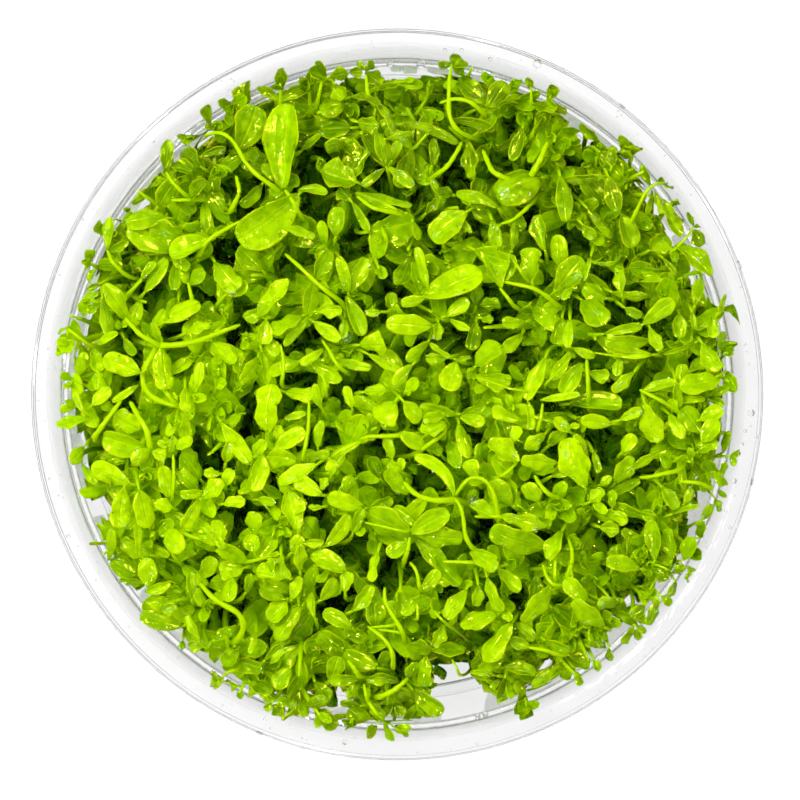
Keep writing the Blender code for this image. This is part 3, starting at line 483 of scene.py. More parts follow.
WHITE_GAPS = (
    (205, 141, 6), (143, 202, 5), (330, 84, 4), (352, 78, 3), (489, 88, 5), (508, 92, 5),
    (571, 124, 6), (585, 138, 8), (591, 144, 5), (640, 183, 7), (644, 206, 4), (654, 205, 6),
    (666, 216, 3), (671, 229, 8), (676, 236, 7), (688, 225, 5), (691, 241, 4), (93, 288, 5),
    (78, 322, 3), (690, 265, 6), (694, 281, 5), (703, 370, 3), (720, 385, 3), (703, 398, 4),
    (718, 407, 5), (78, 431, 4), (75, 439, 4), (88, 460, 4), (90, 471, 3), (694, 475, 5),
    (721, 461, 3), (680, 529, 6), (710, 494, 3), (706, 502, 3), (686, 539, 3), (673, 557, 4),
    (133, 561, 4), (167, 584, 4), (152, 594, 4), (147, 589, 3), (553, 660, 6), (544, 666, 5),
    (523, 664, 4), (503, 679, 4), (528, 683, 3), (638, 582, 5), (626, 597, 6), (661, 589, 5),
    (613, 637, 8), (594, 655, 6), (587, 651, 3), (583, 638, 3), (648, 608, 4), (602, 612, 4),
    (615, 615, 3), (618, 627, 3), (464, 665, 6), (450, 683, 6), (470, 681, 6), (430, 700, 4),
    (340, 697, 8), (388, 710, 5), (272, 692, 3), (700, 518, 4), (226, 678, 3), (198, 660, 8),
    (104, 510, 8), (440, 704, 8), (455, 705, 10), (470, 703, 10), (485, 699, 8), (448, 690, 4),
    (452, 715, 8), (471, 713, 8), (490, 708, 7), (366, 72, 6), (380, 70, 7), (394, 70, 7),
    (408, 70, 7), (422, 72, 6), (434, 74, 5),
)

# A bead of water is its middle x and y and its radius, on a leaf or on the cup's lip, flange or edge
LEAF_BEADS = (
    (166, 231, 5), (326, 255, 4), (337, 220, 5), (393, 225, 4), (503, 189, 8), (436, 233, 4),
    (445, 217, 4), (228, 298, 4), (270, 303, 5), (457, 289, 5), (228, 448, 7), (231, 477, 5),
    (271, 592, 5), (286, 596, 3), (350, 342, 7), (398, 490, 6), (470, 496, 7), (517, 518, 5),
    (534, 528, 4), (505, 457, 6), (512, 455, 4), (436, 436, 4), (427, 422, 4), (428, 428, 3),
    (564, 424, 5), (570, 453, 6), (565, 471, 4), (655, 441, 5), (577, 284, 6), (585, 335, 5),
    (602, 603, 4), (619, 384, 6), (596, 313, 4), (610, 337, 5), (206, 328, 4), (361, 604, 4),
    (335, 568, 3), (302, 623, 3), (297, 680, 3), (640, 411, 5), (631, 414, 3), (617, 516, 5),
    (402, 520, 5), (290, 480, 6), (160, 487, 4), (125, 503, 3), (195, 645, 4), (168, 608, 5),
)
CUP_BEADS = (
    (390, 64, 4), (421, 62, 5), (537, 64, 5), (445, 50, 2), (462, 50, 2), (490, 59, 2),
    (594, 83, 2), (607, 95, 2), (624, 104, 4), (644, 124, 2), (667, 146, 2), (680, 162, 2),
    (699, 186, 3), (707, 197, 2), (716, 210, 2), (726, 231, 2), (747, 262, 5), (751, 413, 4),
    (745, 431, 2), (756, 437, 2), (742, 444, 2), (734, 481, 3), (756, 483, 4), (751, 497, 3),
    (726, 511, 2), (730, 528, 2), (115, 630, 3), (107, 618, 2), (157, 672, 3), (187, 694, 2),
    (196, 700, 2), (259, 734, 4), (303, 748, 3), (265, 719, 2), (345, 742, 3), (478, 717, 3),
    (486, 717, 3), (68, 536, 2),
)

# Finer water: specks on the flange, and dew as beads for each leaf of the photo
SPECKS = 130
SPECK_RADII = (0.00007, 0.00018)
DEW_SHARE = 4.5
DEW_RADII = (0.00010, 0.00030)

# A bead's form: its sides, the angles of its rings, its height for its radius, how deep it is sunk
# in a leaf and how far it stands over the flange. A metre of height makes up for so many pixels
# when a leaf's spot is chosen for a bead
BEAD_SIDES = 7
BEAD_LEVELS = (0.0, 0.45, 0.95)
BEAD_HEIGHT = 0.38
BEAD_SUNK = 0.15
BEAD_CLEARANCE = 0.00001
PIXELS_PER_HEIGHT = 500

# The free edge of a loft's cell in the OFBake map
CELL_GAP = 0.08

METRES_PER_PIXEL = RIM_RADIUS / RIM_RADIUS_PIXELS
UP = np.array([0.0, 0.0, 1.0])


def place_object(name, data):
    made = bpy.data.objects.new(name, data)
    bpy.context.scene.collection.objects.link(made)
    return made


def wall_radius(height):
    """Inner radius of the cup's tapered wall at a height. Works on numbers and arrays."""
    share = (height - FLOOR_THICKNESS) / (CUP_HEIGHT - FLOOR_THICKNESS)
    return FLOOR_RADIUS + (MOUTH_RADIUS - FLOOR_RADIUS) * share


# Camera

def place_camera():
    """A long lens above the cup, as far off its axis as the gel's edge shows in the photo."""
    middle = PHOTO_SIZE / 2
    target = Vector((
        (middle - RIM_CENTRE_PIXEL[0]) * METRES_PER_PIXEL,
        (RIM_CENTRE_PIXEL[1] - middle) * METRES_PER_PIXEL,
        FLANGE_TOP,
    ))
    place = Vector((*CAMERA_FOOT, FLANGE_TOP + CAMERA_DISTANCE))
    back = (place - target).normalized()
    right = Vector((0, 1, 0)).cross(back).normalized()
    upward = back.cross(right)
    data = bpy.data.cameras.new("camera")
    data.sensor_width = SENSOR_WIDTH
    data.lens = (place - target).length * SENSOR_WIDTH / (PHOTO_SIZE * METRES_PER_PIXEL)
    data.clip_start = 0.05
    data.clip_end = 20.0
    camera = place_object("camera", data)
    turn = Matrix((right, upward, back)).transposed().to_4x4()
    camera.matrix_world = Matrix.Translation(place) @ turn
    bpy.context.scene.camera = camera
    return camera


camera = place_camera()
PIXEL_SLOPE = SENSOR_WIDTH / camera.data.lens / PHOTO_SIZE


def at_pixel(px, py, height):
    """The point of the row frame that the photo shows at a pixel, at a given height."""
    middle = PHOTO_SIZE / 2
    turn = camera.matrix_world.to_3x3()
    ray = turn @ Vector(((px - middle) * PIXEL_SLOPE, (middle - py) * PIXEL_SLOPE, -1.0))
    place = camera.matrix_world.translation
    return place + ray * ((height - place.z) / ray.z)


def pixel_of(points):
    """The pixels at which the photo shows points of the row frame."""
    turn = np.array(camera.matrix_world.to_3x3())
    local = (points - np.array(camera.matrix_world.translation)) @ turn
    return PHOTO_SIZE / 2 + local[..., :2] / -local[..., 2:] / PIXEL_SLOPE * np.array([1.0, -1.0])


# Leaves and stems as lofts

class Loft(NamedTuple):
    """Closed lofts of one kind: points (count, rings, sides, 3), their ends (count, 2, 3), their
    material's slot, and what materials read: across and along per point, tint and depth per loft.
    """

    points: np.ndarray
    ends: np.ndarray
    slot: int = 0
    across: np.ndarray = 0.0
    along: np.ndarray = 0.0
    tint: np.ndarray = 0.0
    depth: np.ndarray = 0.0


class Leaf(NamedTuple):
    """One leaf: where it starts, the way it grows, the way its upper face looks, and its form."""

    start: tuple
    forward: tuple
    normal: tuple
    length: float
    width: float
    bend: float
    sway: float
    twist: float
    cup: float
    fold: float
    wave: float
    peak: float
    tint: float
    depth: float


class Stem(NamedTuple):
    """One stem: its path from the foot to the tip, and its radius."""

    path: np.ndarray
    radius: float


def unit(vectors):
    return vectors / np.linalg.norm(vectors, axis=-1, keepdims=True)


def keep_in_cup(points):
    """Presses points that would pass the cup's wall, the lip or the mat's top smoothly back."""
    radius = np.hypot(points[..., 0], points[..., 1])
    height = points[..., 2]
    over_lip = np.clip((height - CUP_HEIGHT - LIP_CLEARANCE) / OVERHANG_RISE, 0.0, 1.0)
    inner = wall_radius(np.minimum(height, CUP_HEIGHT)) - WALL_CLEARANCE
    limit = inner + (OVERHANG_RADIUS - inner) * over_lip - PRESS_MARGIN
    past = np.maximum(radius - limit, 0.0)
    pressed = radius - past + PRESS_MARGIN * (1.0 - np.exp(-past / PRESS_MARGIN))
    share = pressed / np.maximum(radius, 1e-9)
    result = points.copy()
    result[..., 0] *= share
    result[..., 1] *= share
    above = np.maximum(height - (MAT_CEILING - PRESS_MARGIN), 0.0)
    result[..., 2] = height - above + PRESS_MARGIN * (1.0 - np.exp(-above / PRESS_MARGIN))
    return result


def loft_leaves(leaves, stations, rim):
    """Every leaf as a closed blade: arched, twisted, cupped and folded along its midrib."""
    start = np.array([leaf.start for leaf in leaves])
    forward = unit(np.array([leaf.forward for leaf in leaves]))
    normal = np.array([leaf.normal for leaf in leaves])
    normal = unit(normal - forward * np.sum(normal * forward, axis=1, keepdims=True))
    side = np.cross(forward, normal)

    def column(name):
        return np.array([getattr(leaf, name) for leaf in leaves])[:, None]

    length = column("length")
    peak = column("peak")
    along = np.array(stations)[None, :]
    # Half width along the blade: a narrow stalk, a broad belly at the peak and a round tip
    rise = np.clip(along / peak, 0.0, 1.0)
    fall = np.clip((along - peak) / (1.0 - peak), 0.0, 1.0)
    belly = np.where(along < peak, np.sin(rise * math.pi / 2) ** 0.95, np.sqrt(1.0 - fall ** 2.1))
    notch = 1.0 + NOTCH_DEPTH * np.sin(along * NOTCH_PACE + column("tint") * 90.0)
    half = column("width") / 2 * (STALK_SHARE + (1.0 - STALK_SHARE) * belly) * notch
    # The blade turns evenly down by the bend and sideways by the sway, from its stalk to its tip
    down = (column("bend") * along)[..., None]
    aside = (column("sway") * along)[..., None]
    ahead = forward[:, None] * np.cos(down) * np.cos(aside) + side[:, None] * np.sin(aside) * np.cos(down)
    ahead = unit(ahead - normal[:, None] * np.sin(down))
    stride = (ahead[:, 1:] + ahead[:, :-1]) / 2 * np.diff(along, axis=1)[..., None] * length[..., None]
    spine = start[:, None] + np.concatenate([np.zeros_like(ahead[:, :1]), np.cumsum(stride, axis=1)], axis=1)
    up = normal[:, None] * np.cos(down) + forward[:, None] * np.sin(down)
    out = unit(np.cross(ahead, up))
    up = np.cross(out, ahead)
    angle = (column("twist") * along)[..., None]
    out = out * np.cos(angle) + up * np.sin(angle)
    up = np.cross(out, ahead)
    share = np.array(rim)[:, 0]
    level = np.array(rim)[:, 1]
    thick = np.minimum(LEAF_THICKNESS * (0.7 + 0.5 * belly), half)
    lift = column("cup")[..., None] * (share ** 2 - 0.3) + column("fold")[..., None] * (np.abs(share) - 0.5)
    ripple = np.sin(along * WAVE_PACE + column("tint") * 40.0)[..., None] * column("wave")[..., None]
    lift = (lift + ripple * share * np.abs(share)) * half[..., None]
    lift = lift + thick[..., None] * level * (0.5 - 0.2 * np.abs(share))
    points = (
        spine[:, :, None]
        + out[:, :, None] * (half[..., None] * share)[..., None]
        + up[:, :, None] * lift[..., None]
    )
    tip = spine[:, -1] + ahead[:, -1] * (TIP_SHARE * length)
    ends = np.stack([spine[:, 0], tip], axis=1)
    return Loft(
        keep_in_cup(points), keep_in_cup(ends), 0,
        share, along[..., None], column("tint")[:, 0], column("depth")[:, 0],
    )


def loft_stems(stems):
    """Every stem as a tapered tube with a steady roll around its own path."""
    path = np.array([stem.path for stem in stems])
    radius = np.array([stem.radius for stem in stems])[:, None, None, None]
    ahead = unit(np.gradient(path, axis=1))
    side = unit(np.cross(ahead, np.array([0.31, 0.95, 0.05])))
    other = np.cross(ahead, side)
    angles = np.arange(STEM_SIDES) * 2 * math.pi / STEM_SIDES
    ring = side[:, :, None] * np.cos(angles)[:, None] + other[:, :, None] * np.sin(angles)[:, None]
    taper = np.linspace(*STEM_TAPER, path.shape[1])[None, :, None, None]
    taper[:, -1] *= STEM_TIP_SHARE
    swell = np.sin(np.arange(path.shape[1]) * STEM_SWELL_PACE)[None, :, None, None]
    taper = taper * (1.0 + STEM_SWELL * swell)
    points = path[:, :, None] + ring * radius * taper
    # Painted shade: a stem is darker the lower it runs in the mat, by this share in its along
    light = np.clip((path[..., 2] - STEM_DARK_HEIGHT) / (STEM_LIGHT_HEIGHT - STEM_DARK_HEIGHT), 0.0, 1.0)
    return Loft(keep_in_cup(points), keep_in_cup(path[:, [0, -1]]), 1, along=light[..., None])


def loft_beads(places, normals, radii):
    """Every bead of water as a low dome on the surface that it lies on."""
    places, normals = np.array(places), unit(np.array(normals))
    radii = np.array(radii)[:, None, None, None]
    side = unit(np.cross(normals, np.array([0.31, 0.90, 0.11])))
    other = np.cross(normals, side)
    angles = np.arange(BEAD_SIDES) * 2 * math.pi / BEAD_SIDES
    ring = side[:, None] * np.cos(angles)[:, None] + other[:, None] * np.sin(angles)[:, None]
    level = np.array(BEAD_LEVELS)[None, :, None, None]
    rise = normals[:, None, None] * (np.sin(level) * BEAD_HEIGHT)
    points = places[:, None, None] + (ring[:, None] * np.cos(level) + rise) * radii
    top = places + normals * BEAD_HEIGHT * radii[:, 0, 0]
    return Loft(points, np.stack([places, top], axis=1))


def loft_faces(rings, sides):
    """Corner indices and cell coordinates of one loft's faces: its quads, then both end fans.

    A loft's vertices are its rings one after the other, then its start and its end point.
    """
    quads = []
    quad_cells = []
    for ring in range(rings - 1):
        for side in range(sides):
            after = (side + 1) % sides
            low, high = ring * sides, (ring + 1) * sides
            quads.append((low + side, low + after, high + after, high + side))
            left, right = side / sides, (side + 1) / sides
            bottom, top = (ring + 0.5) / rings, (ring + 1.5) / rings
            quad_cells.append(((left, bottom), (right, bottom), (right, top), (left, top)))
    fans = []
    fan_cells = []
    start, end = rings * sides, rings * sides + 1
    last = (rings - 1) * sides
    low, high = 0.5 / rings, (rings - 0.5) / rings
    for side in range(sides):
        after = (side + 1) % sides
        left, middle, right = side / sides, (side + 0.5) / sides, (side + 1) / sides
        fans.append((after, side, start))
        fan_cells.append(((right, low), (left, low), (middle, 0.0)))
        fans.append((last + side, last + after, end))
        fan_cells.append(((left, high), (right, high), (middle, 1.0)))
    return np.array(quads), np.array(quad_cells), np.array(fans), np.array(fan_cells)


def mesh_from_lofts(name, lofts):
    """One mesh of many closed lofts. Each loft has its own cell of the OFBake map."""
    grid = math.ceil(math.sqrt(sum(len(loft.points) for loft in lofts)))
    vertices, corners, sizes, cells, slots = [], [], [], [], []
    values = {"across": [], "along": [], "tint": [], "depth": []}
    vertex_base = 0
    cell_base = 0
    for loft in lofts:
        count, rings, sides, _ = loft.points.shape
        each = rings * sides + 2
        flat = np.concatenate([loft.points.reshape(count, -1, 3), loft.ends], axis=1)
        vertices.append(flat.reshape(-1, 3))
        for title, tip in (("across", 0.0), ("along", 1.0)):
            inner = np.broadcast_to(getattr(loft, title), (count, rings, sides)).reshape(count, -1)
            values[title].append(np.hstack([inner, np.tile((0.0, tip), (count, 1))]).ravel())
        for title in ("tint", "depth"):
            values[title].append(np.repeat(np.broadcast_to(getattr(loft, title), count), each))
        offset = vertex_base + np.arange(count) * each
        number = cell_base + np.arange(count)
        corner = np.stack([number % grid, number // grid], axis=1).astype(float)
        quads, quad_cells, fans, fan_cells = loft_faces(rings, sides)
        for faces, uv in ((quads, quad_cells), (fans, fan_cells)):
            corners.append((offset[:, None, None] + faces[None]).ravel())
            sizes.append(np.full(count * len(faces), faces.shape[1]))
            placed = corner[:, None, None] + CELL_GAP / 2 + uv[None] * (1 - CELL_GAP)
            cells.append(placed.reshape(-1, 2) / grid)
            slots.append(np.full(count * len(faces), loft.slot))
        vertex_base += count * each
        cell_base += count
    vertices = np.concatenate(vertices).astype(np.float32)
    corners = np.concatenate(corners).astype(np.int32)
    sizes = np.concatenate(sizes).astype(np.int32)
    starts = np.concatenate([[0], np.cumsum(sizes)[:-1]]).astype(np.int32)
    mesh = bpy.data.meshes.new(name)
    mesh.vertices.add(len(vertices))
    mesh.vertices.foreach_set("co", vertices.ravel())
    mesh.loops.add(len(corners))
    mesh.loops.foreach_set("vertex_index", corners)
    mesh.polygons.add(len(sizes))
    mesh.polygons.foreach_set("loop_start", starts)
    mesh.polygons.foreach_set("material_index", np.concatenate(slots).astype(np.int32))
    mesh.update(calc_edges=True)
    uv = mesh.uv_layers.new(name="OFBake")
    uv.uv.foreach_set("vector", np.concatenate(cells).astype(np.float32).ravel())
    for title, lists in values.items():
        data = mesh.attributes.new(title, "FLOAT", "POINT").data
        data.foreach_set("value", np.concatenate(lists).astype(np.float32))
    mesh.shade_smooth()
    return mesh


# Sprigs

def bezier(points, steps):
    """Points along the cubic curve of four control points."""
    share = np.linspace(0, 1, steps)[:, None]
    rest = 1 - share
    a, b, c, d = (np.array(point) for point in points)
    return rest ** 3 * a + 3 * rest ** 2 * share * b + 3 * rest * share ** 2 * c + share ** 3 * d


def heading_vector(angle, tilt):
    """A unit vector that leans by tilt from upright towards a level heading."""
    return np.array([math.sin(tilt) * math.cos(angle), math.sin(tilt) * math.sin(angle), math.cos(tilt)])


def mat_top(x, y):
    """Height of the mat's upper surface: a low dome with small hills."""
    dome = MAT_MIDDLE_HEIGHT - MAT_EDGE_DROP * (math.hypot(x, y) / MOUTH_RADIUS) ** 2
    hills = math.sin(230 * x + 1.3) * math.cos(210 * y - 0.4) + 0.6 * math.sin(430 * x - 390 * y)
    return dome + HILL_HEIGHT * hills


def painted_light_tint(x, y):
    """Leaf tint by place, with painted light and shade: darker green at the wall and at the top (+y),
    yellower at the left (-x).
    """
    right, upward = x / MOUTH_RADIUS, y / MOUTH_RADIUS
    reach = math.hypot(right, upward)
    tint = MIDDLE_TINT + TINT_RIGHT * right + TINT_UPWARD * upward + TINT_AWAY * abs(upward)
    return tint + TINT_AT_WALL * max(0.0, reach - WALL_SHADE_FROM)


def clip(value, low=0.0, high=1.0):
    return min(high, max(low, value))


def leaf_depth(place):
    """0 for a leaf at the mat's top, 1 for one deep down in its shade."""
    return clip((mat_top(place[0], place[1]) - place[2]) / DEPTH_SCALE)


# A sprig's nodes: distance under the tip, leaf length, and angle between leaf and stem
NODES = (
    (0.0003, 0.0016, 0.30),
    (0.0010, 0.0028, 0.65),
    (0.0024, 0.0043, 1.00),
    (0.0046, 0.0056, 1.25),
    (0.0076, 0.0064, 1.40),
    (0.0114, 0.0070, 1.50),
    (0.0160, 0.0074, 1.50),
    (0.0215, 0.0076, 1.50),
    (0.0275, 0.0076, 1.50),
    (0.0335, 0.0070, 1.50),
)
BUD_NODES = 2

# Share of stems with three leaves at a node, share of leaves that are missing, the lowest stretch
# of a stem that stays bare, and the step that gives a stem's direction at a node
THREE_LEAF_SHARE = 0.3
MISSING_SHARE = 0.12
BARE_STRETCH = 0.003
NODE_STEP = 0.0006


def free_leaf(start, forward, normal, size, slender, curl, tint):
    """A leaf with a natural spread of forms around the given size."""
    return Leaf(
        start=tuple(start),
        forward=tuple(forward),
        normal=tuple(normal),
        length=size,
        width=size * slender,
        bend=curl,
        sway=rng.gauss(0, 0.35),
        twist=rng.gauss(0, 0.35),
        cup=rng.uniform(-0.45, 0.35),
        fold=rng.uniform(-0.05, 0.80),
        wave=rng.uniform(0.0, 0.40),
        peak=rng.uniform(0.50, 0.68),
        tint=clip(tint + rng.gauss(0, 0.20)),
        depth=leaf_depth(start),
    )


def grow_leaves(path, leafy_depth, scale, tint):
    """Whorls of leaves along a stem's path, from its bud down to a depth under the tip."""
    steps = np.linalg.norm(np.diff(path, axis=0), axis=1)
    under_tip = np.concatenate([np.cumsum(steps[::-1])[::-1], [0.0]])

    def point_at(depth):
        return np.array([np.interp(depth, under_tip[::-1], path[::-1, axis]) for axis in range(3)])

    leaves = []
    turn = rng.uniform(0, 2 * math.pi)
    whorl = 3 if rng.random() < THREE_LEAF_SHARE else 2
    for number, (depth, length, angle) in enumerate(NODES):
        depth *= scale * (rng.uniform(0.85, 1.2) if number > BUD_NODES else 1.0)
        if depth > min(leafy_depth, under_tip[0] - BARE_STRETCH):
            break
        here = point_at(depth)
        along = unit(here - point_at(depth + NODE_STEP))
        side = unit(np.cross(along, np.array([0.3, 0.9, 0.2])))
        other = np.cross(along, side)
        turn += math.pi / whorl + rng.uniform(-0.3, 0.3)
        for blade in range(whorl):
            if number > BUD_NODES and rng.random() < MISSING_SHARE:
                continue
            around = turn + 2 * math.pi * blade / whorl + rng.uniform(-0.25, 0.25)
            outward = side * math.cos(around) + other * math.sin(around)
            spread = angle + rng.gauss(0, 0.22)
            forward = along * math.cos(spread) + outward * math.sin(spread)
            size = length * scale * rng.uniform(0.75, 1.20)
            tilt = np.array([rng.gauss(0, 0.28), rng.gauss(0, 0.28), 0.85])
            leaves.append(free_leaf(
                here, forward, along * 0.5 + tilt, size,
                rng.uniform(0.50, 0.66) if number < BUD_NODES else rng.uniform(0.36, 0.54),
                rng.uniform(-0.5, 0.2) if number < BUD_NODES else rng.uniform(-0.3, 1.1),
                tint,
            ))
    return leaves


class Tuft:
    """One tuft of the frame and the stems and leaves that grow from it."""

    def __init__(self, name):
        self.name = name
        vertices = np.array([vertex.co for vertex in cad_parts[name].data.vertices])
        foot = vertices[vertices[:, 2] < vertices[:, 2].min() + 1e-4]
        self.place = foot.mean(axis=0)
        self.stems = []
        self.stalks = []
        self.leaves = []
        self.seen_leaves = []

    def foot(self):
        """A spot in the gel under the tuft where a stem is rooted."""
        angle = rng.uniform(0, 2 * math.pi)
        spread = FOOT_SPREAD * math.sqrt(rng.random())
        return self.place + np.array([spread * math.cos(angle), spread * math.sin(angle), -FOOT_DEPTH])


tufts = [Tuft(name) for name in sorted(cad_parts) if name.startswith("tuft")]


def nearest_tuft(x, y):
    return min(tufts, key=lambda tuft: math.hypot(tuft.place[0] - x, tuft.place[1] - y))


def grow_sprig(tip, direction, leafy_depth, scale, tint):
    """One stem from its foot in the gel to its tip, with its whorls of leaves."""
    tuft = nearest_tuft(tip[0], tip[1])
    foot = tuft.foot()
    tip = np.array(tip)
    rise = tip[2] - foot[2]
    drift = np.array([rng.gauss(0, 0.0015), rng.gauss(0, 0.0015), 0.35 * rise])
    path = bezier((foot, foot + drift, tip - direction * 0.30 * rise, tip), STEM_STEPS)
    pixels = pixel_of(path)
    if in_gaps(pixels, WHITE, 1.0).any():
        return
    if tip[2] > GAP_FLOOR and in_gaps(pixels[-4:], DARK, 1.0).any():
        return
    tuft.stems.append(Stem(path, STEM_RADIUS * scale))
    leaves = grow_leaves(path, leafy_depth, scale, tint)
    tuft.leaves += [leaf for leaf, wrong in zip(leaves, in_the_way(leaves)) if not wrong]


# The leaves and stems that the photo shows

class Blade(NamedTuple):
    """One row of BLADES."""

    base_x: float
    base_y: float
    tip_x: float
    tip_y: float
    width: float
    tone: float
    sway: float = 0.0


blades = [Blade(*row) for row in BLADES]


def photo_point(px, py, lift):
    """The point at a pixel of the photo that lies on the mat's top, or lift over it."""
    spot = at_pixel(px, py, MAT_MIDDLE_HEIGHT)
    height = mat_top(spot.x, spot.y) + lift
    if math.hypot(spot.x, spot.y) > OVER_LIP_FROM:
        height = max(height, CUP_HEIGHT + RIM_LIFT)
    return np.array(at_pixel(px, py, height))


def tone_lift(tone):
    return (tone - TONE_MIDDLE) * TONE_LIFT


def photo_leaf(blade):
    """A row of BLADES as a leaf whose outline lies where the photo shows it."""
    base = photo_point(blade.base_x, blade.base_y, tone_lift(blade.tone) - BASE_DROP)
    tip = photo_point(blade.tip_x, blade.tip_y, tone_lift(blade.tone) + rng.gauss(0, 0.0006))
    chord = unit(tip - base)
    widened = rng.uniform(1.0, 1.3)
    roll = math.acos(1 / widened) * rng.choice((-1, 1))
    level = unit(UP - chord * chord[2])
    side = np.cross(chord, level)
    normal = level * math.cos(roll) + side * math.sin(roll)
    side = np.cross(chord, normal)
    sway = blade.sway or rng.gauss(0, 0.12)
    bend = rng.uniform(-0.3, 0.9)
    turn = math.hypot(bend, sway) / 2
    forward = chord * math.cos(bend / 2) * math.cos(sway / 2) - side * math.sin(sway / 2)
    # Painted light and shade: the tint follows the leaf's tone and place, and a low tone darkens it through
    # its depth
    shift = PLACE_TINT_SHARE * (painted_light_tint(base[0], base[1]) - TONE_TINT)
    return Leaf(
        start=tuple(base),
        forward=tuple(forward + normal * math.sin(bend / 2)),
        normal=tuple(normal * math.cos(bend / 2) - chord * math.sin(bend / 2)),
        length=float(np.linalg.norm(tip - base)) * turn / math.sin(turn),
        width=blade.width * widened * METRES_PER_PIXEL,
        bend=bend,
        sway=sway,
        twist=rng.gauss(0, 0.15),
        cup=rng.uniform(-0.45, 0.35),
        fold=rng.uniform(-0.05, 0.75),
        wave=rng.uniform(0.05, 0.35),
        peak=rng.uniform(0.48, 0.66),
        tint=clip(TINT_PER_TONE * blade.tone + shift + rng.gauss(0, 0.06)),
        depth=clip((SHADE_BELOW_TONE - blade.tone) * SHADE_PER_TONE),
    )


def smooth(path, passes):
    """The path with its inner points drawn towards their neighbours."""
    path = path.copy()
    for _ in range(passes):
        path[1:-1] = (path[:-2] + 2 * path[1:-1] + path[2:]) / 4
    return path


def photo_stalk(row):
    """A row of STALKS as a stem that runs on from its last point down to the nearest tuft's foot."""
    width, tone, *pixels = row
    seen = np.array([photo_point(px, py, tone_lift(tone) + STALK_LIFT) for px, py in reversed(pixels)])
    seen[0, 2] -= STALK_DIP
    seen[-1, 2] -= STALK_DIP
    tuft = nearest_tuft(seen[0, 0], seen[0, 1])
    foot = tuft.foot()
    rise = seen[0, 2] - foot[2]
    ahead = unit(seen[1] - seen[0])
    dive = bezier((foot, foot + UP * 0.5 * rise, seen[0] - ahead * 0.004 - UP * 0.003, seen[0]), DIVE_STEPS)
    steps = np.linalg.norm(np.diff(seen, axis=0), axis=1)
    run = np.concatenate([[0.0], np.cumsum(steps)])
    places = np.linspace(0, run[-1], SEEN_STEPS)
    even = np.stack([np.interp(places, run, seen[:, axis]) for axis in range(3)], axis=1)
    path = smooth(np.concatenate([dive[:-1], even]), 3)
    tuft.stalks.append(Stem(path, STALK_RADIUS_SHARE * width * METRES_PER_PIXEL))


def grow_photo_leaves():
    """Every leaf and bare stem of the photo. Leaves that start close together share one stem."""
    held = [point for _, _, *points in STALKS for point in points]
    for row in STALKS:
        photo_stalk(row)
    for blade in blades:
        leaf = photo_leaf(blade)
        tuft = nearest_tuft(leaf.start[0], leaf.start[1])
        tuft.seen_leaves.append(leaf)
        if all(math.dist(point, blade[:2]) > SHARED_STEM_REACH for point in held):
            held.append(blade[:2])
            foot = tuft.foot()
            tip = np.array(leaf.start)
            rise = tip[2] - foot[2]
            lean = unit(UP + 0.5 * np.array(leaf.forward)) * 0.3 * rise
            path = bezier((foot, foot + UP * 0.35 * rise, tip - lean, tip), STEM_STEPS)
            tuft.stems.append(Stem(path, STEM_RADIUS))


BLADE_BASES = np.array([blade[:2] for blade in blades], dtype=float)
BLADE_RUNS = np.array([blade[2:4] for blade in blades], dtype=float) - BLADE_BASES
BLADE_HALVES = np.array([blade.width / 2 for blade in blades])
BLADE_HEIGHTS = np.array([photo_point(*blade[:2], tone_lift(blade.tone))[2] for blade in blades])
DARK = np.array(DARK_GAPS, dtype=float)
WHITE = np.array(WHITE_GAPS, dtype=float)

# Where a leaf is tried against the photo's ones, how far under one it may lie, and how much of its
# half width must stay clear of a blade, of a dark gap and of a white gap
TRIED_SHARES = (0.2, 0.55, 0.9)
UNDER_BLADE = 0.0006
CLEAR_OF_BLADE = 0.5
CLEAR_OF_DARK = 0.6
CLEAR_OF_WHITE = 0.45


def in_gaps(pixels, gaps, margin):
    """Which pixels lie within a margin of one of the gaps."""
    distance = np.linalg.norm(pixels[:, None] - gaps[None, :, :2], axis=2)
    return (distance < gaps[:, 2] + np.reshape(margin, (-1, 1))).any(axis=1)


def in_the_way(leaves):
    """Which leaves would hide a leaf of the photo or fill one of its gaps."""
    start = np.array([leaf.start for leaf in leaves])
    reach = unit(np.array([leaf.forward for leaf in leaves]))
    reach = reach * np.array([leaf.length for leaf in leaves])[:, None]
    half = np.array([leaf.width for leaf in leaves]) / METRES_PER_PIXEL / 2
    wrong = np.zeros(len(leaves), dtype=bool)
    for share in TRIED_SHARES:
        points = start + reach * share
        height = points[:, 2]
        pixels = pixel_of(points)
        away = pixels[:, None] - BLADE_BASES[None]
        part = np.sum(away * BLADE_RUNS, axis=2) / np.sum(BLADE_RUNS ** 2, axis=1)
        away = away - np.clip(part, 0.0, 1.0)[..., None] * BLADE_RUNS
        near = np.linalg.norm(away, axis=2) < BLADE_HALVES + CLEAR_OF_BLADE * half[:, None]
        wrong |= (near & (height[:, None] > BLADE_HEIGHTS - UNDER_BLADE)).any(axis=1)
        wrong |= in_gaps(pixels, DARK, half * CLEAR_OF_DARK) & (height > GAP_FLOOR)
        wrong |= in_gaps(pixels, WHITE, half * CLEAR_OF_WHITE)
    return wrong


# The mat around and under them

def scatter_tips(spacing, radius, tips=()):
    """The given tip places and more over the mouth, kept apart from each other."""
    tips = list(tips)
    for _ in range(SCATTER_TRIES):
        angle = rng.uniform(0, 2 * math.pi)
        reach = radius * math.sqrt(rng.random())
        x, y = reach * math.cos(angle), reach * math.sin(angle)
        if all((x - a) ** 2 + (y - b) ** 2 > spacing ** 2 for a, b in tips):
            tips.append((x, y))
    return tips


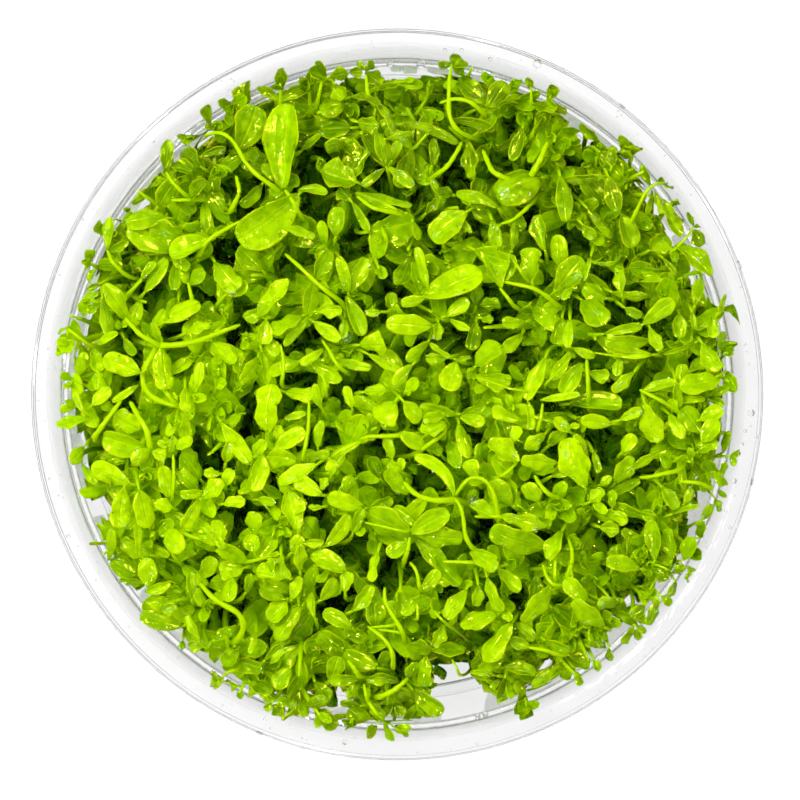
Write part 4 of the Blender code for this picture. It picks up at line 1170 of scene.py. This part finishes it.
def grow_underlayer():
    """Low sprigs close under the others, so that a gap in the mat shows dark leaves and not the floor.
    Their low tint is painted shade.
    """
    gaps = [at_pixel(px, py, UNDER_HEIGHTS[0]) for px, py, _ in DARK_GAPS]
    for x, y in scatter_tips(UNDER_SPACING, UNDER_RADIUS, [(gap.x, gap.y) for gap in gaps]):
        tip = (x, y, rng.uniform(*UNDER_HEIGHTS))
        direction = heading_vector(rng.uniform(0, 2 * math.pi), rng.uniform(0.2, 0.9))
        grow_sprig(tip, direction, UNDER_LEAFY_DEPTH, UNDER_SCALE, UNDER_TINT)


def grow_mat():
    """Fills the mouth with sprigs of all heights and leans."""
    for x, y in scatter_tips(TIP_SPACING, TIP_RADIUS):
        reach = math.hypot(x, y)
        at_edge = reach > EDGE_FROM
        heading = rng.uniform(0, 2 * math.pi)
        tilt = abs(rng.gauss(0, 0.6))
        if at_edge and rng.random() < 0.6:
            heading = math.atan2(y, x) + rng.gauss(0, 0.6)
            tilt = rng.uniform(0.5, 1.3)
        depth = rng.choice(TIP_DEPTHS)
        if reach > LIP_TIPS_FROM:
            depth = rng.uniform(*LIP_TIP_DEPTHS)
        grow_sprig(
            (x, y, mat_top(x, y) - depth),
            heading_vector(heading, min(tilt, 1.5)),
            EDGE_LEAFY_DEPTH if at_edge else LEAFY_DEPTH,
            rng.uniform(*SPRIG_SCALES),
            painted_light_tint(x, y),
        )


def fill_wall():
    """Lower sprigs that lie along the wall where the photo shows it covered."""
    for count, low, high in WALL_FILL:
        for _ in range(count):
            angle = math.radians(rng.uniform(low, high))
            reach = rng.uniform(*WALL_REACH)
            x, y = reach * math.cos(angle), reach * math.sin(angle)
            heading = angle + rng.choice((-1, 1)) * rng.uniform(0.2, 1.8)
            tip = (x, y, mat_top(x, y) - rng.uniform(*WALL_DEPTHS))
            direction = heading_vector(heading, rng.uniform(0.4, 1.4))
            grow_sprig(tip, direction, WALL_LEAFY_DEPTH, rng.uniform(*WALL_SCALES), WALL_TINT)


# Materials

def new_material(name):
    made = bpy.data.materials.new(name)
    made.use_nodes = True
    tree = made.node_tree
    tree.nodes.clear()
    return made, tree


def add(tree, kind, **values):
    """A node of a kind. Values set its inputs by name, with _ for a space."""
    node = tree.nodes.new(kind)
    for key, value in values.items():
        node.inputs[key.replace("_", " ")].default_value = value
    return node


def to_surface(tree, shader):
    output = add(tree, "ShaderNodeOutputMaterial")
    tree.links.new(shader.outputs[0], output.inputs["Surface"])


def attribute(tree, name):
    node = tree.nodes.new("ShaderNodeAttribute")
    node.attribute_name = name
    return node.outputs["Fac"]


def ramp(tree, factor, stops):
    """A colour ramp through (place, colour) stops."""
    node = tree.nodes.new("ShaderNodeValToRGB")
    elements = node.color_ramp.elements
    while len(elements) > 1:
        elements.remove(elements[-1])
    elements[0].position = stops[0][0]
    elements[0].color = (*stops[0][1], 1.0)
    for place, colour in stops[1:]:
        element = elements.new(place)
        element.color = (*colour, 1.0)
    tree.links.new(factor, node.inputs["Fac"])
    return node.outputs["Color"]


def maths(tree, operation, first, second=0.0):
    """A math node. Each operand is a number or a socket."""
    node = tree.nodes.new("ShaderNodeMath")
    node.operation = operation
    for socket, operand in zip(node.inputs, (first, second)):
        if isinstance(operand, (int, float)):
            socket.default_value = operand
        else:
            tree.links.new(operand, socket)
    return node.outputs["Value"]


def blend(tree, mode, factor, first, second):
    """A colour mix. The factor and the colours are values or sockets."""
    node = tree.nodes.new("ShaderNodeMix")
    node.data_type = "RGBA"
    node.blend_type = mode
    # A Mix node has its factor first, and its two colours after those of its other data types
    for socket, value in ((node.inputs[0], factor), (node.inputs[6], first), (node.inputs[7], second)):
        if isinstance(value, bpy.types.NodeSocket):
            tree.links.new(value, socket)
        elif isinstance(value, tuple):
            socket.default_value = (*value, 1.0)
        else:
            socket.default_value = value
    return node.outputs[2]


def rising(tree, value, start, slope, limit=1.0):
    """How far a value is past a start, or with a negative slope short of it, times the slope.

    The result is kept from 0 to the limit.
    """
    value = maths(tree, "MULTIPLY", maths(tree, "SUBTRACT", value, start), slope)
    return maths(tree, "MINIMUM", maths(tree, "MAXIMUM", value, 0.0), limit)


def weighted_sum(tree, *parts):
    """The sum of (socket, weight) parts."""
    total, *others = [maths(tree, "MULTIPLY", socket, weight) for socket, weight in parts]
    for other in others:
        total = maths(tree, "ADD", total, other)
    return total


def texture(tree, kind, scale, output="Fac"):
    """A texture over the piece's own coordinates."""
    place = add(tree, "ShaderNodeTexCoord")
    node = add(tree, kind, Scale=scale)
    tree.links.new(place.outputs["Object"], node.inputs["Vector"])
    return node.outputs[output]


def bumps(tree, height, distance):
    node = add(tree, "ShaderNodeBump", Strength=1.0, Distance=distance)
    tree.links.new(height, node.inputs["Height"])
    return node.outputs["Normal"]


def plant_shader(tree, colour, normal, through_share):
    """A wet plant surface: diffuse with a thin sharp gloss, and some light through the blade."""
    body = add(tree, "ShaderNodeBsdfPrincipled", Roughness=0.5, Specular_IOR_Level=0.0)
    through = add(tree, "ShaderNodeBsdfTranslucent")
    blade = add(tree, "ShaderNodeMixShader", Fac=through_share)
    gloss = add(tree, "ShaderNodeBsdfAnisotropic", Roughness=0.14, Color=(0.75, 0.95, 0.015, 1.0))
    fresnel = add(tree, "ShaderNodeFresnel", IOR=1.38)
    wet = add(tree, "ShaderNodeMixShader")
    for socket, target in (
        (colour, body.inputs["Base Color"]),
        (colour, through.inputs["Color"]),
        (normal, body.inputs["Normal"]),
        (normal, gloss.inputs["Normal"]),
        (normal, fresnel.inputs["Normal"]),
        (body.outputs[0], blade.inputs[1]),
        (through.outputs[0], blade.inputs[2]),
        (fresnel.outputs[0], wet.inputs["Fac"]),
        (blade.outputs[0], wet.inputs[1]),
        (gloss.outputs[0], wet.inputs[2]),
    ):
        tree.links.new(socket, target)
    to_surface(tree, wet)


def leaf_material():
    """Yellow-green blades with a sunken midrib, faint long veins and tiny pale dots. Their colour
    also holds painted light and shade: dark hollows, pale rises, bright margins, glints on the dots,
    a darker stalk and darker leaves deep in the mat.
    """
    made, tree = new_material("pearlweed_leaf")
    patch = texture(tree, "ShaderNodeTexNoise", 420.0)
    mottle = texture(tree, "ShaderNodeTexNoise", 900.0)
    fine = texture(tree, "ShaderNodeTexNoise", 2600.0)
    # The midrib is a narrow line on the middle, and the veins run side by side to the tip
    across = attribute(tree, "across")
    away = maths(tree, "ABSOLUTE", across)
    rib = rising(tree, away, 1 / 9.0, -9.0)
    margin = rising(tree, away, 0.8, 2.5)
    vein = maths(tree, "SINE", maths(tree, "MULTIPLY", across, 15.0))
    vein = maths(tree, "MULTIPLY", maths(tree, "ADD", vein, 1.0), 0.5)
    # About half of the leaves have dots: tiny pale raised specks, painted bright as glints of fine water
    lot = maths(tree, "FRACT", maths(tree, "MULTIPLY", attribute(tree, "tint"), 37.0))
    dotted = maths(tree, "GREATER_THAN", lot, 0.5)
    dot = rising(tree, texture(tree, "ShaderNodeTexVoronoi", 1500.0, "Distance"), 1 / 4.5, -4.5)
    dot = maths(tree, "MULTIPLY", dot, dotted)
    # Painted shade: a blade is darker at its stalk and brighter at its tip
    stalk_shade = maths(tree, "MULTIPLY", maths(tree, "SUBTRACT", attribute(tree, "along"), 0.55), 0.34)
    # The tint holds the leaf's own colour, with painted light and shade by its place and tone
    colour = ramp(tree, maths(tree, "ADD", attribute(tree, "tint"), stalk_shade), (
        (0.0, (0.045, 0.15, 0.0)),
        (0.5, (0.16, 0.42, 0.0)),
        (0.8, (0.31, 0.67, 0.0)),
        (1.0, (0.46, 0.85, 0.0)),
    ))
    # Painted shade: darker where the mottle's bumps are low
    dark = blend(tree, "MULTIPLY", 1.0, colour, (0.55, 0.66, 0.5))
    colour = blend(tree, "MIX", rising(tree, mottle, 0.60, -4.0, 0.8), colour, dark)
    # Painted light: paler yellow-green where the patch bumps are high
    colour = blend(tree, "MIX", rising(tree, patch, 0.50, 3.5, 0.45), colour, (0.39, 0.77, 0.0))
    # The veins and the midrib are paler of their own; the bright margin is painted light, a rim lit through
    # the blade, and the pale dots are painted glints
    for mark, strength, over in (
        (vein, 0.08, (0.56, 0.86, 0.0)),
        (rib, 0.22, (0.56, 0.86, 0.0)),
        (margin, 1.0, (0.66, 0.86, 0.0)),
        (dot, 0.85, (0.72, 0.95, 0.02)),
    ):
        colour = blend(tree, "MIX", maths(tree, "MULTIPLY", mark, strength), colour, over)
    # Painted shade: the deeper a leaf lies in the mat, the darker its colour
    shade = maths(tree, "POWER", attribute(tree, "depth"), 0.8)
    colour = blend(tree, "MULTIPLY", shade, colour, (0.80, 0.97, 0.15))
    height = weighted_sum(
        tree, (vein, 0.06), (rib, -0.5), (mottle, 0.55), (fine, 0.14), (patch, 1.1), (dot, 1.3),
    )
    plant_shader(tree, colour, bumps(tree, height, 0.00018), 0.28)
    return made


def stem_material():
    """Pale juicy stems, darker towards the gel: painted shade low in the mat."""
    made, tree = new_material("pearlweed_stem")
    colour = ramp(tree, attribute(tree, "along"), (
        (0.0, (0.06, 0.15, 0.0)),
        (0.5, (0.14, 0.33, 0.0)),
        (0.8, (0.23, 0.49, 0.0)),
        (1.0, (0.33, 0.65, 0.0)),
    ))
    mottle = texture(tree, "ShaderNodeTexNoise", 1200.0)
    plant_shader(tree, colour, bumps(tree, mottle, 0.00008), 0.12)
    return made


def clear_material(name, colour, roughness, ior, transmission):
    made, tree = new_material(name)
    to_surface(tree, add(
        tree, "ShaderNodeBsdfPrincipled", Base_Color=(*colour, 1.0), Roughness=roughness, IOR=ior,
        Transmission_Weight=transmission,
    ))
    return made


# Cup and gel

def arc(centre, radius, start, end, steps):
    """Points of a round corner in the profile's plane, as (distance from the axis, height)."""
    points = []
    for step in range(steps + 1):
        angle = math.radians(start + (end - start) * step / steps)
        points.append((centre[0] + radius * math.cos(angle), centre[1] + radius * math.sin(angle)))
    return points


def turned(name, profile, finish):
    """A closed solid turned about Z. The profile starts and ends on the axis, underside first."""
    bm = bmesh.new()
    rings = []
    for radius, height in profile:
        if radius == 0.0:
            rings.append([bm.verts.new((0.0, 0.0, height))])
            continue
        ring = []
        for step in range(CUP_SEGMENTS):
            angle = 2 * math.pi * step / CUP_SEGMENTS
            ring.append(bm.verts.new((radius * math.cos(angle), radius * math.sin(angle), height)))
        rings.append(ring)
    for below, above in zip(rings, rings[1:]):
        for step in range(CUP_SEGMENTS):
            after = (step + 1) % CUP_SEGMENTS
            if len(below) == 1:
                bm.faces.new((below[0], above[after], above[step]))
            elif len(above) == 1:
                bm.faces.new((below[step], below[after], above[0]))
            else:
                bm.faces.new((below[step], below[after], above[after], above[step]))
    bmesh.ops.recalc_face_normals(bm, faces=bm.faces)
    mesh = bpy.data.meshes.new(name)
    bm.to_mesh(mesh)
    bm.free()
    mesh.shade_smooth()
    mesh.set_sharp_from_angle(angle=math.radians(SHARP_DEGREES))
    mesh.materials.append(finish)
    return place_object(name, mesh)


def cup_profile():
    """The cup's section: recessed base, foot ring, tapered wall, skirted flange and lip."""
    outer_corner = FLOOR_RADIUS + WALL - CORNER_RADIUS
    inner_round = CORNER_RADIUS - WALL
    inner_corner = FLOOR_RADIUS - inner_round
    flange_under = FLANGE_TOP - SKIRT_WALL
    skirt_foot = FLANGE_TOP - SKIRT_HEIGHT
    lip_outer = MOUTH_RADIUS + LIP_WIDTH
    lip_round = 0.00018
    foot_inner = FOOT_RING_RADIUS - FOOT_RING_HALF_WIDTH
    foot_outer = FOOT_RING_RADIUS + FOOT_RING_HALF_WIDTH
    rim_round = 0.0005
    neck = 0.0005
    fillet = 0.0002
    return [
        (0.0, FOOT_RECESS),
        (foot_inner - FOOT_RECESS, FOOT_RECESS),
        (foot_inner, 0.0),
        (foot_outer, 0.0),
        *arc((outer_corner, CORNER_RADIUS), CORNER_RADIUS, -80, 0, 8),
        (wall_radius(flange_under - neck) + WALL, flange_under - neck),
        (wall_radius(flange_under) + WALL + neck, flange_under),
        (RIM_RADIUS - SKIRT_WALL, flange_under),
        *arc((RIM_RADIUS - SKIRT_WALL / 2, skirt_foot + SKIRT_WALL / 2), SKIRT_WALL / 2, 180, 360, 6),
        *arc((RIM_RADIUS - rim_round, FLANGE_TOP - rim_round), rim_round, 0, 90, 5),
        *arc((lip_outer + fillet, FLANGE_TOP + fillet), fillet, 270, 180, 5),
        *arc((lip_outer - lip_round, CUP_HEIGHT - lip_round), lip_round, 0, 90, 4),
        *arc((MOUTH_RADIUS + lip_round, CUP_HEIGHT - lip_round), lip_round, 90, 170, 4),
        (wall_radius(CUP_HEIGHT - 0.0012), CUP_HEIGHT - 0.0012),
        *arc((inner_corner, FLOOR_THICKNESS + inner_round), inner_round, 0, -90, 6),
        (0.0, FLOOR_THICKNESS),
    ]


def gel_profile():
    """A flat bed that fills the cup's bottom and climbs the wall a little at its edge."""
    corner = CORNER_RADIUS - WALL
    touch = 0.00005
    under = FLOOR_THICKNESS + touch
    edge = wall_radius(GEL_TOP) - touch
    rise = []
    for step in range(7):
        share = step / 6
        rise.append((edge - MENISCUS_WIDTH * share, GEL_TOP + MENISCUS_RISE * (1 - share) ** 2))
    return [
        (0.0, under),
        *arc((FLOOR_RADIUS - corner, under + corner), corner - touch, -90, -5, 6),
        *rise,
        (0.0, GEL_TOP),
    ]


# Water

def spots_on(points, noise):
    """A spot on each upper face of the leaves where a bead of water can lie, and its normal."""
    spots, normals = [], []
    for side in FINE_UPPER_SIDES:
        near, far = points[:, 2:-1, side], points[:, 2:-1, side + 1]
        run = points[:, 3:, side] - near
        along, across = noise.random((2, *near.shape[:2], 1))
        normal = unit(np.cross(near - far, run))
        spots.append((near + run * along + (far - near) * across).reshape(-1, 3))
        normals.append((normal * np.sign(normal[..., 2:])).reshape(-1, 3))
    return np.concatenate(spots), np.concatenate(normals)


def on_cup(place):
    """The spot of the lip, the flange or the skirt's edge nearest to a place, and its normal."""
    reach = math.hypot(place.x, place.y)
    outward = np.array([place.x / reach, place.y / reach, 0.0])
    if reach > RIM_RADIUS - 0.0005:
        return outward * (RIM_RADIUS - 0.0001) + UP * (FLANGE_TOP - 0.0005), outward + 0.5 * UP
    if reach > MOUTH_RADIUS + LIP_WIDTH + 0.0003:
        return outward * reach + UP * (FLANGE_TOP + BEAD_CLEARANCE), UP
    return outward * (MOUTH_RADIUS + LIP_WIDTH / 2) + UP * (CUP_HEIGHT - 0.0001), UP


def water_piece(name, places, normals, radii):
    mesh = mesh_from_lofts(name, [loft_beads(places, normals, radii)])
    mesh.materials.append(water)
    made = place_object(name, mesh)
    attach(made, "root")


def wet_leaves(spots, normals):
    """The photo's beads on the leaves that it shows, and fine dew over all of them."""
    pixels = pixel_of(spots)
    chosen = []
    radii = []
    for px, py, radius in LEAF_BEADS:
        # Of the spots near the bead's middle, a high one is taken, as it isn't hidden
        distance = np.linalg.norm(pixels - np.array([px, py]), axis=1)
        chosen.append(int(np.argmin(distance - spots[:, 2] * PIXELS_PER_HEIGHT)))
        radii.append(radius * METRES_PER_PIXEL)
    for number in rng.sample(range(len(spots)), int(DEW_SHARE * len(blades))):
        chosen.append(number)
        radii.append(rng.uniform(*DEW_RADII))
    sunk = spots[chosen] - normals[chosen] * (BEAD_SUNK * np.array(radii))[:, None]
    water_piece("leaf_water_beads", sunk, normals[chosen], radii)


def wet_cup():
    """The photo's beads on the cup, and tiny specks of water over the flange."""
    places, normals, radii = [], [], []
    for px, py, radius in CUP_BEADS:
        place, normal = on_cup(at_pixel(px, py, FLANGE_TOP))
        places.append(place)
        normals.append(normal)
        radii.append(radius * METRES_PER_PIXEL)
    for _ in range(SPECKS):
        angle = rng.uniform(0, 2 * math.pi)
        reach = rng.uniform(MOUTH_RADIUS + 0.0018, RIM_RADIUS - 0.0008)
        height = FLANGE_TOP + BEAD_CLEARANCE
        places.append(np.array([reach * math.cos(angle), reach * math.sin(angle), height]))
        normals.append(UP)
        radii.append(rng.uniform(*SPECK_RADII))
    water_piece("cup_water_beads", places, normals, radii)


# A tuft's piece

def build_sprigs(tuft):
    """One piece of a tuft's stems and leaves. Returns the loft of those that the photo shows."""
    near = [leaf for leaf in tuft.leaves if leaf.depth < PLAIN_FROM_DEPTH]
    deep = [leaf for leaf in tuft.leaves if leaf.depth >= PLAIN_FROM_DEPTH]
    lofts = [
        loft_leaves(near, MIDDLE_STATIONS, MIDDLE_RIM),
        loft_leaves(deep, PLAIN_STATIONS, PLAIN_RIM),
        loft_stems(tuft.stems),
    ]
    if tuft.stalks:
        lofts.append(loft_stems(tuft.stalks))
    seen = None
    if tuft.seen_leaves:
        seen = loft_leaves(tuft.seen_leaves, FINE_STATIONS, FINE_RIM)
        lofts.append(seen)
    mesh = mesh_from_lofts(tuft.name + "_sprigs", lofts)
    mesh.materials.append(leaf_finish)
    mesh.materials.append(stem_finish)
    sprigs = place_object(tuft.name + "_sprigs", mesh)
    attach(sprigs, "root")
    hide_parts(tuft.name)
    return seen


# Floor, light and view

def white_floor():
    """A pale floor, bright enough of itself that the cup's soft shadow on it stays faint."""
    mesh = bpy.data.meshes.new("floor")
    corners = [(x * FLOOR_HALF, y * FLOOR_HALF, 0) for x, y in ((-1, -1), (1, -1), (1, 1), (-1, 1))]
    mesh.from_pydata(corners, [], [(0, 1, 2, 3)])
    made, tree = new_material("white_floor")
    to_surface(tree, add(
        tree, "ShaderNodeBsdfPrincipled", Base_Color=(FLOOR_GREY, FLOOR_GREY, FLOOR_GREY, 1.0),
        Roughness=0.9, Specular_IOR_Level=0.0,
        Emission_Color=(1.0, 1.0, 1.0, 1.0), Emission_Strength=FLOOR_GLOW,
    ))
    mesh.materials.append(made)
    floor = place_object("floor", mesh)
    floor.location = (0, 0, -0.0002)
    floor.visible_diffuse = False


def white_world():
    """Even light from the upper half, none from below and little from straight above."""
    world = bpy.data.worlds.new("studio")
    bpy.context.scene.world = world
    world.use_nodes = True
    tree = world.node_tree
    place = add(tree, "ShaderNodeTexCoord")
    axes = add(tree, "ShaderNodeSeparateXYZ")
    tree.links.new(place.outputs["Generated"], axes.inputs["Vector"])
    height = axes.outputs["Z"]
    light = maths(tree, "SUBTRACT", rising(tree, height, 0.0, 8.0), rising(tree, height, 0.93, 20.0, 0.8))
    background = tree.nodes["Background"]
    background.inputs["Color"].default_value = (1.0, 1.0, 1.0, 1.0)
    tree.links.new(maths(tree, "MULTIPLY", light, SKY_STRENGTH), background.inputs["Strength"])


def disc_light(name, place, size, power):
    """A round soft light that looks at the middle of the mat."""
    data = bpy.data.lights.new(name, "AREA")
    data.shape = "DISK"
    data.size = size
    data.energy = power
    made = place_object(name, data)
    made.location = place
    looks = Vector((0.0, 0.0, LIT_HEIGHT)) - Vector(place)
    made.rotation_euler = looks.to_track_quat("-Z", "Y").to_euler()
    return made


def studio():
    """Floor, sky, a key light from the upper left, and the sparks."""
    white_floor()
    white_world()
    disc_light("key", KEY_PLACE, KEY_SIZE, KEY_POWER).visible_glossy = False
    for number, (x, y) in enumerate(SPARKS):
        spark = disc_light("spark_%d" % number, (x, y, SPARK_HEIGHT), SPARK_SIZE, SPARK_POWER)
        spark.visible_diffuse = False
        spark.visible_transmission = False
    bpy.context.scene.view_settings.view_transform = "Standard"
    bpy.context.scene.view_settings.gamma = VIEW_GAMMA


# Build

water = clear_material("clear_water", (1.0, 1.0, 1.0), 0.0, 1.33, 1.0)
leaf_finish = leaf_material()
stem_finish = stem_material()
plastic = clear_material("clear_cup_plastic", (0.885, 0.885, 0.882), 0.05, 1.49, 0.96)
gel = clear_material("clear_growing_gel", (0.98, 1.0, 0.985), 0.04, 1.34, 1.0)

cup = turned("clear_cup", cup_profile(), plastic)
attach(cup, "root")
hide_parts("cup")

bed = turned("clear_gel", gel_profile(), gel)
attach(bed, "root")
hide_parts("growing_gel")

grow_photo_leaves()
grow_underlayer()
grow_mat()
fill_wall()

spot_noise = np.random.default_rng(SEED)
seen_lofts = [build_sprigs(tuft) for tuft in tufts]
spots = [spots_on(seen.points, spot_noise) for seen in seen_lofts if seen is not None]
wet_leaves(*(np.concatenate(arrays) for arrays in zip(*spots)))
wet_cup()

studio()
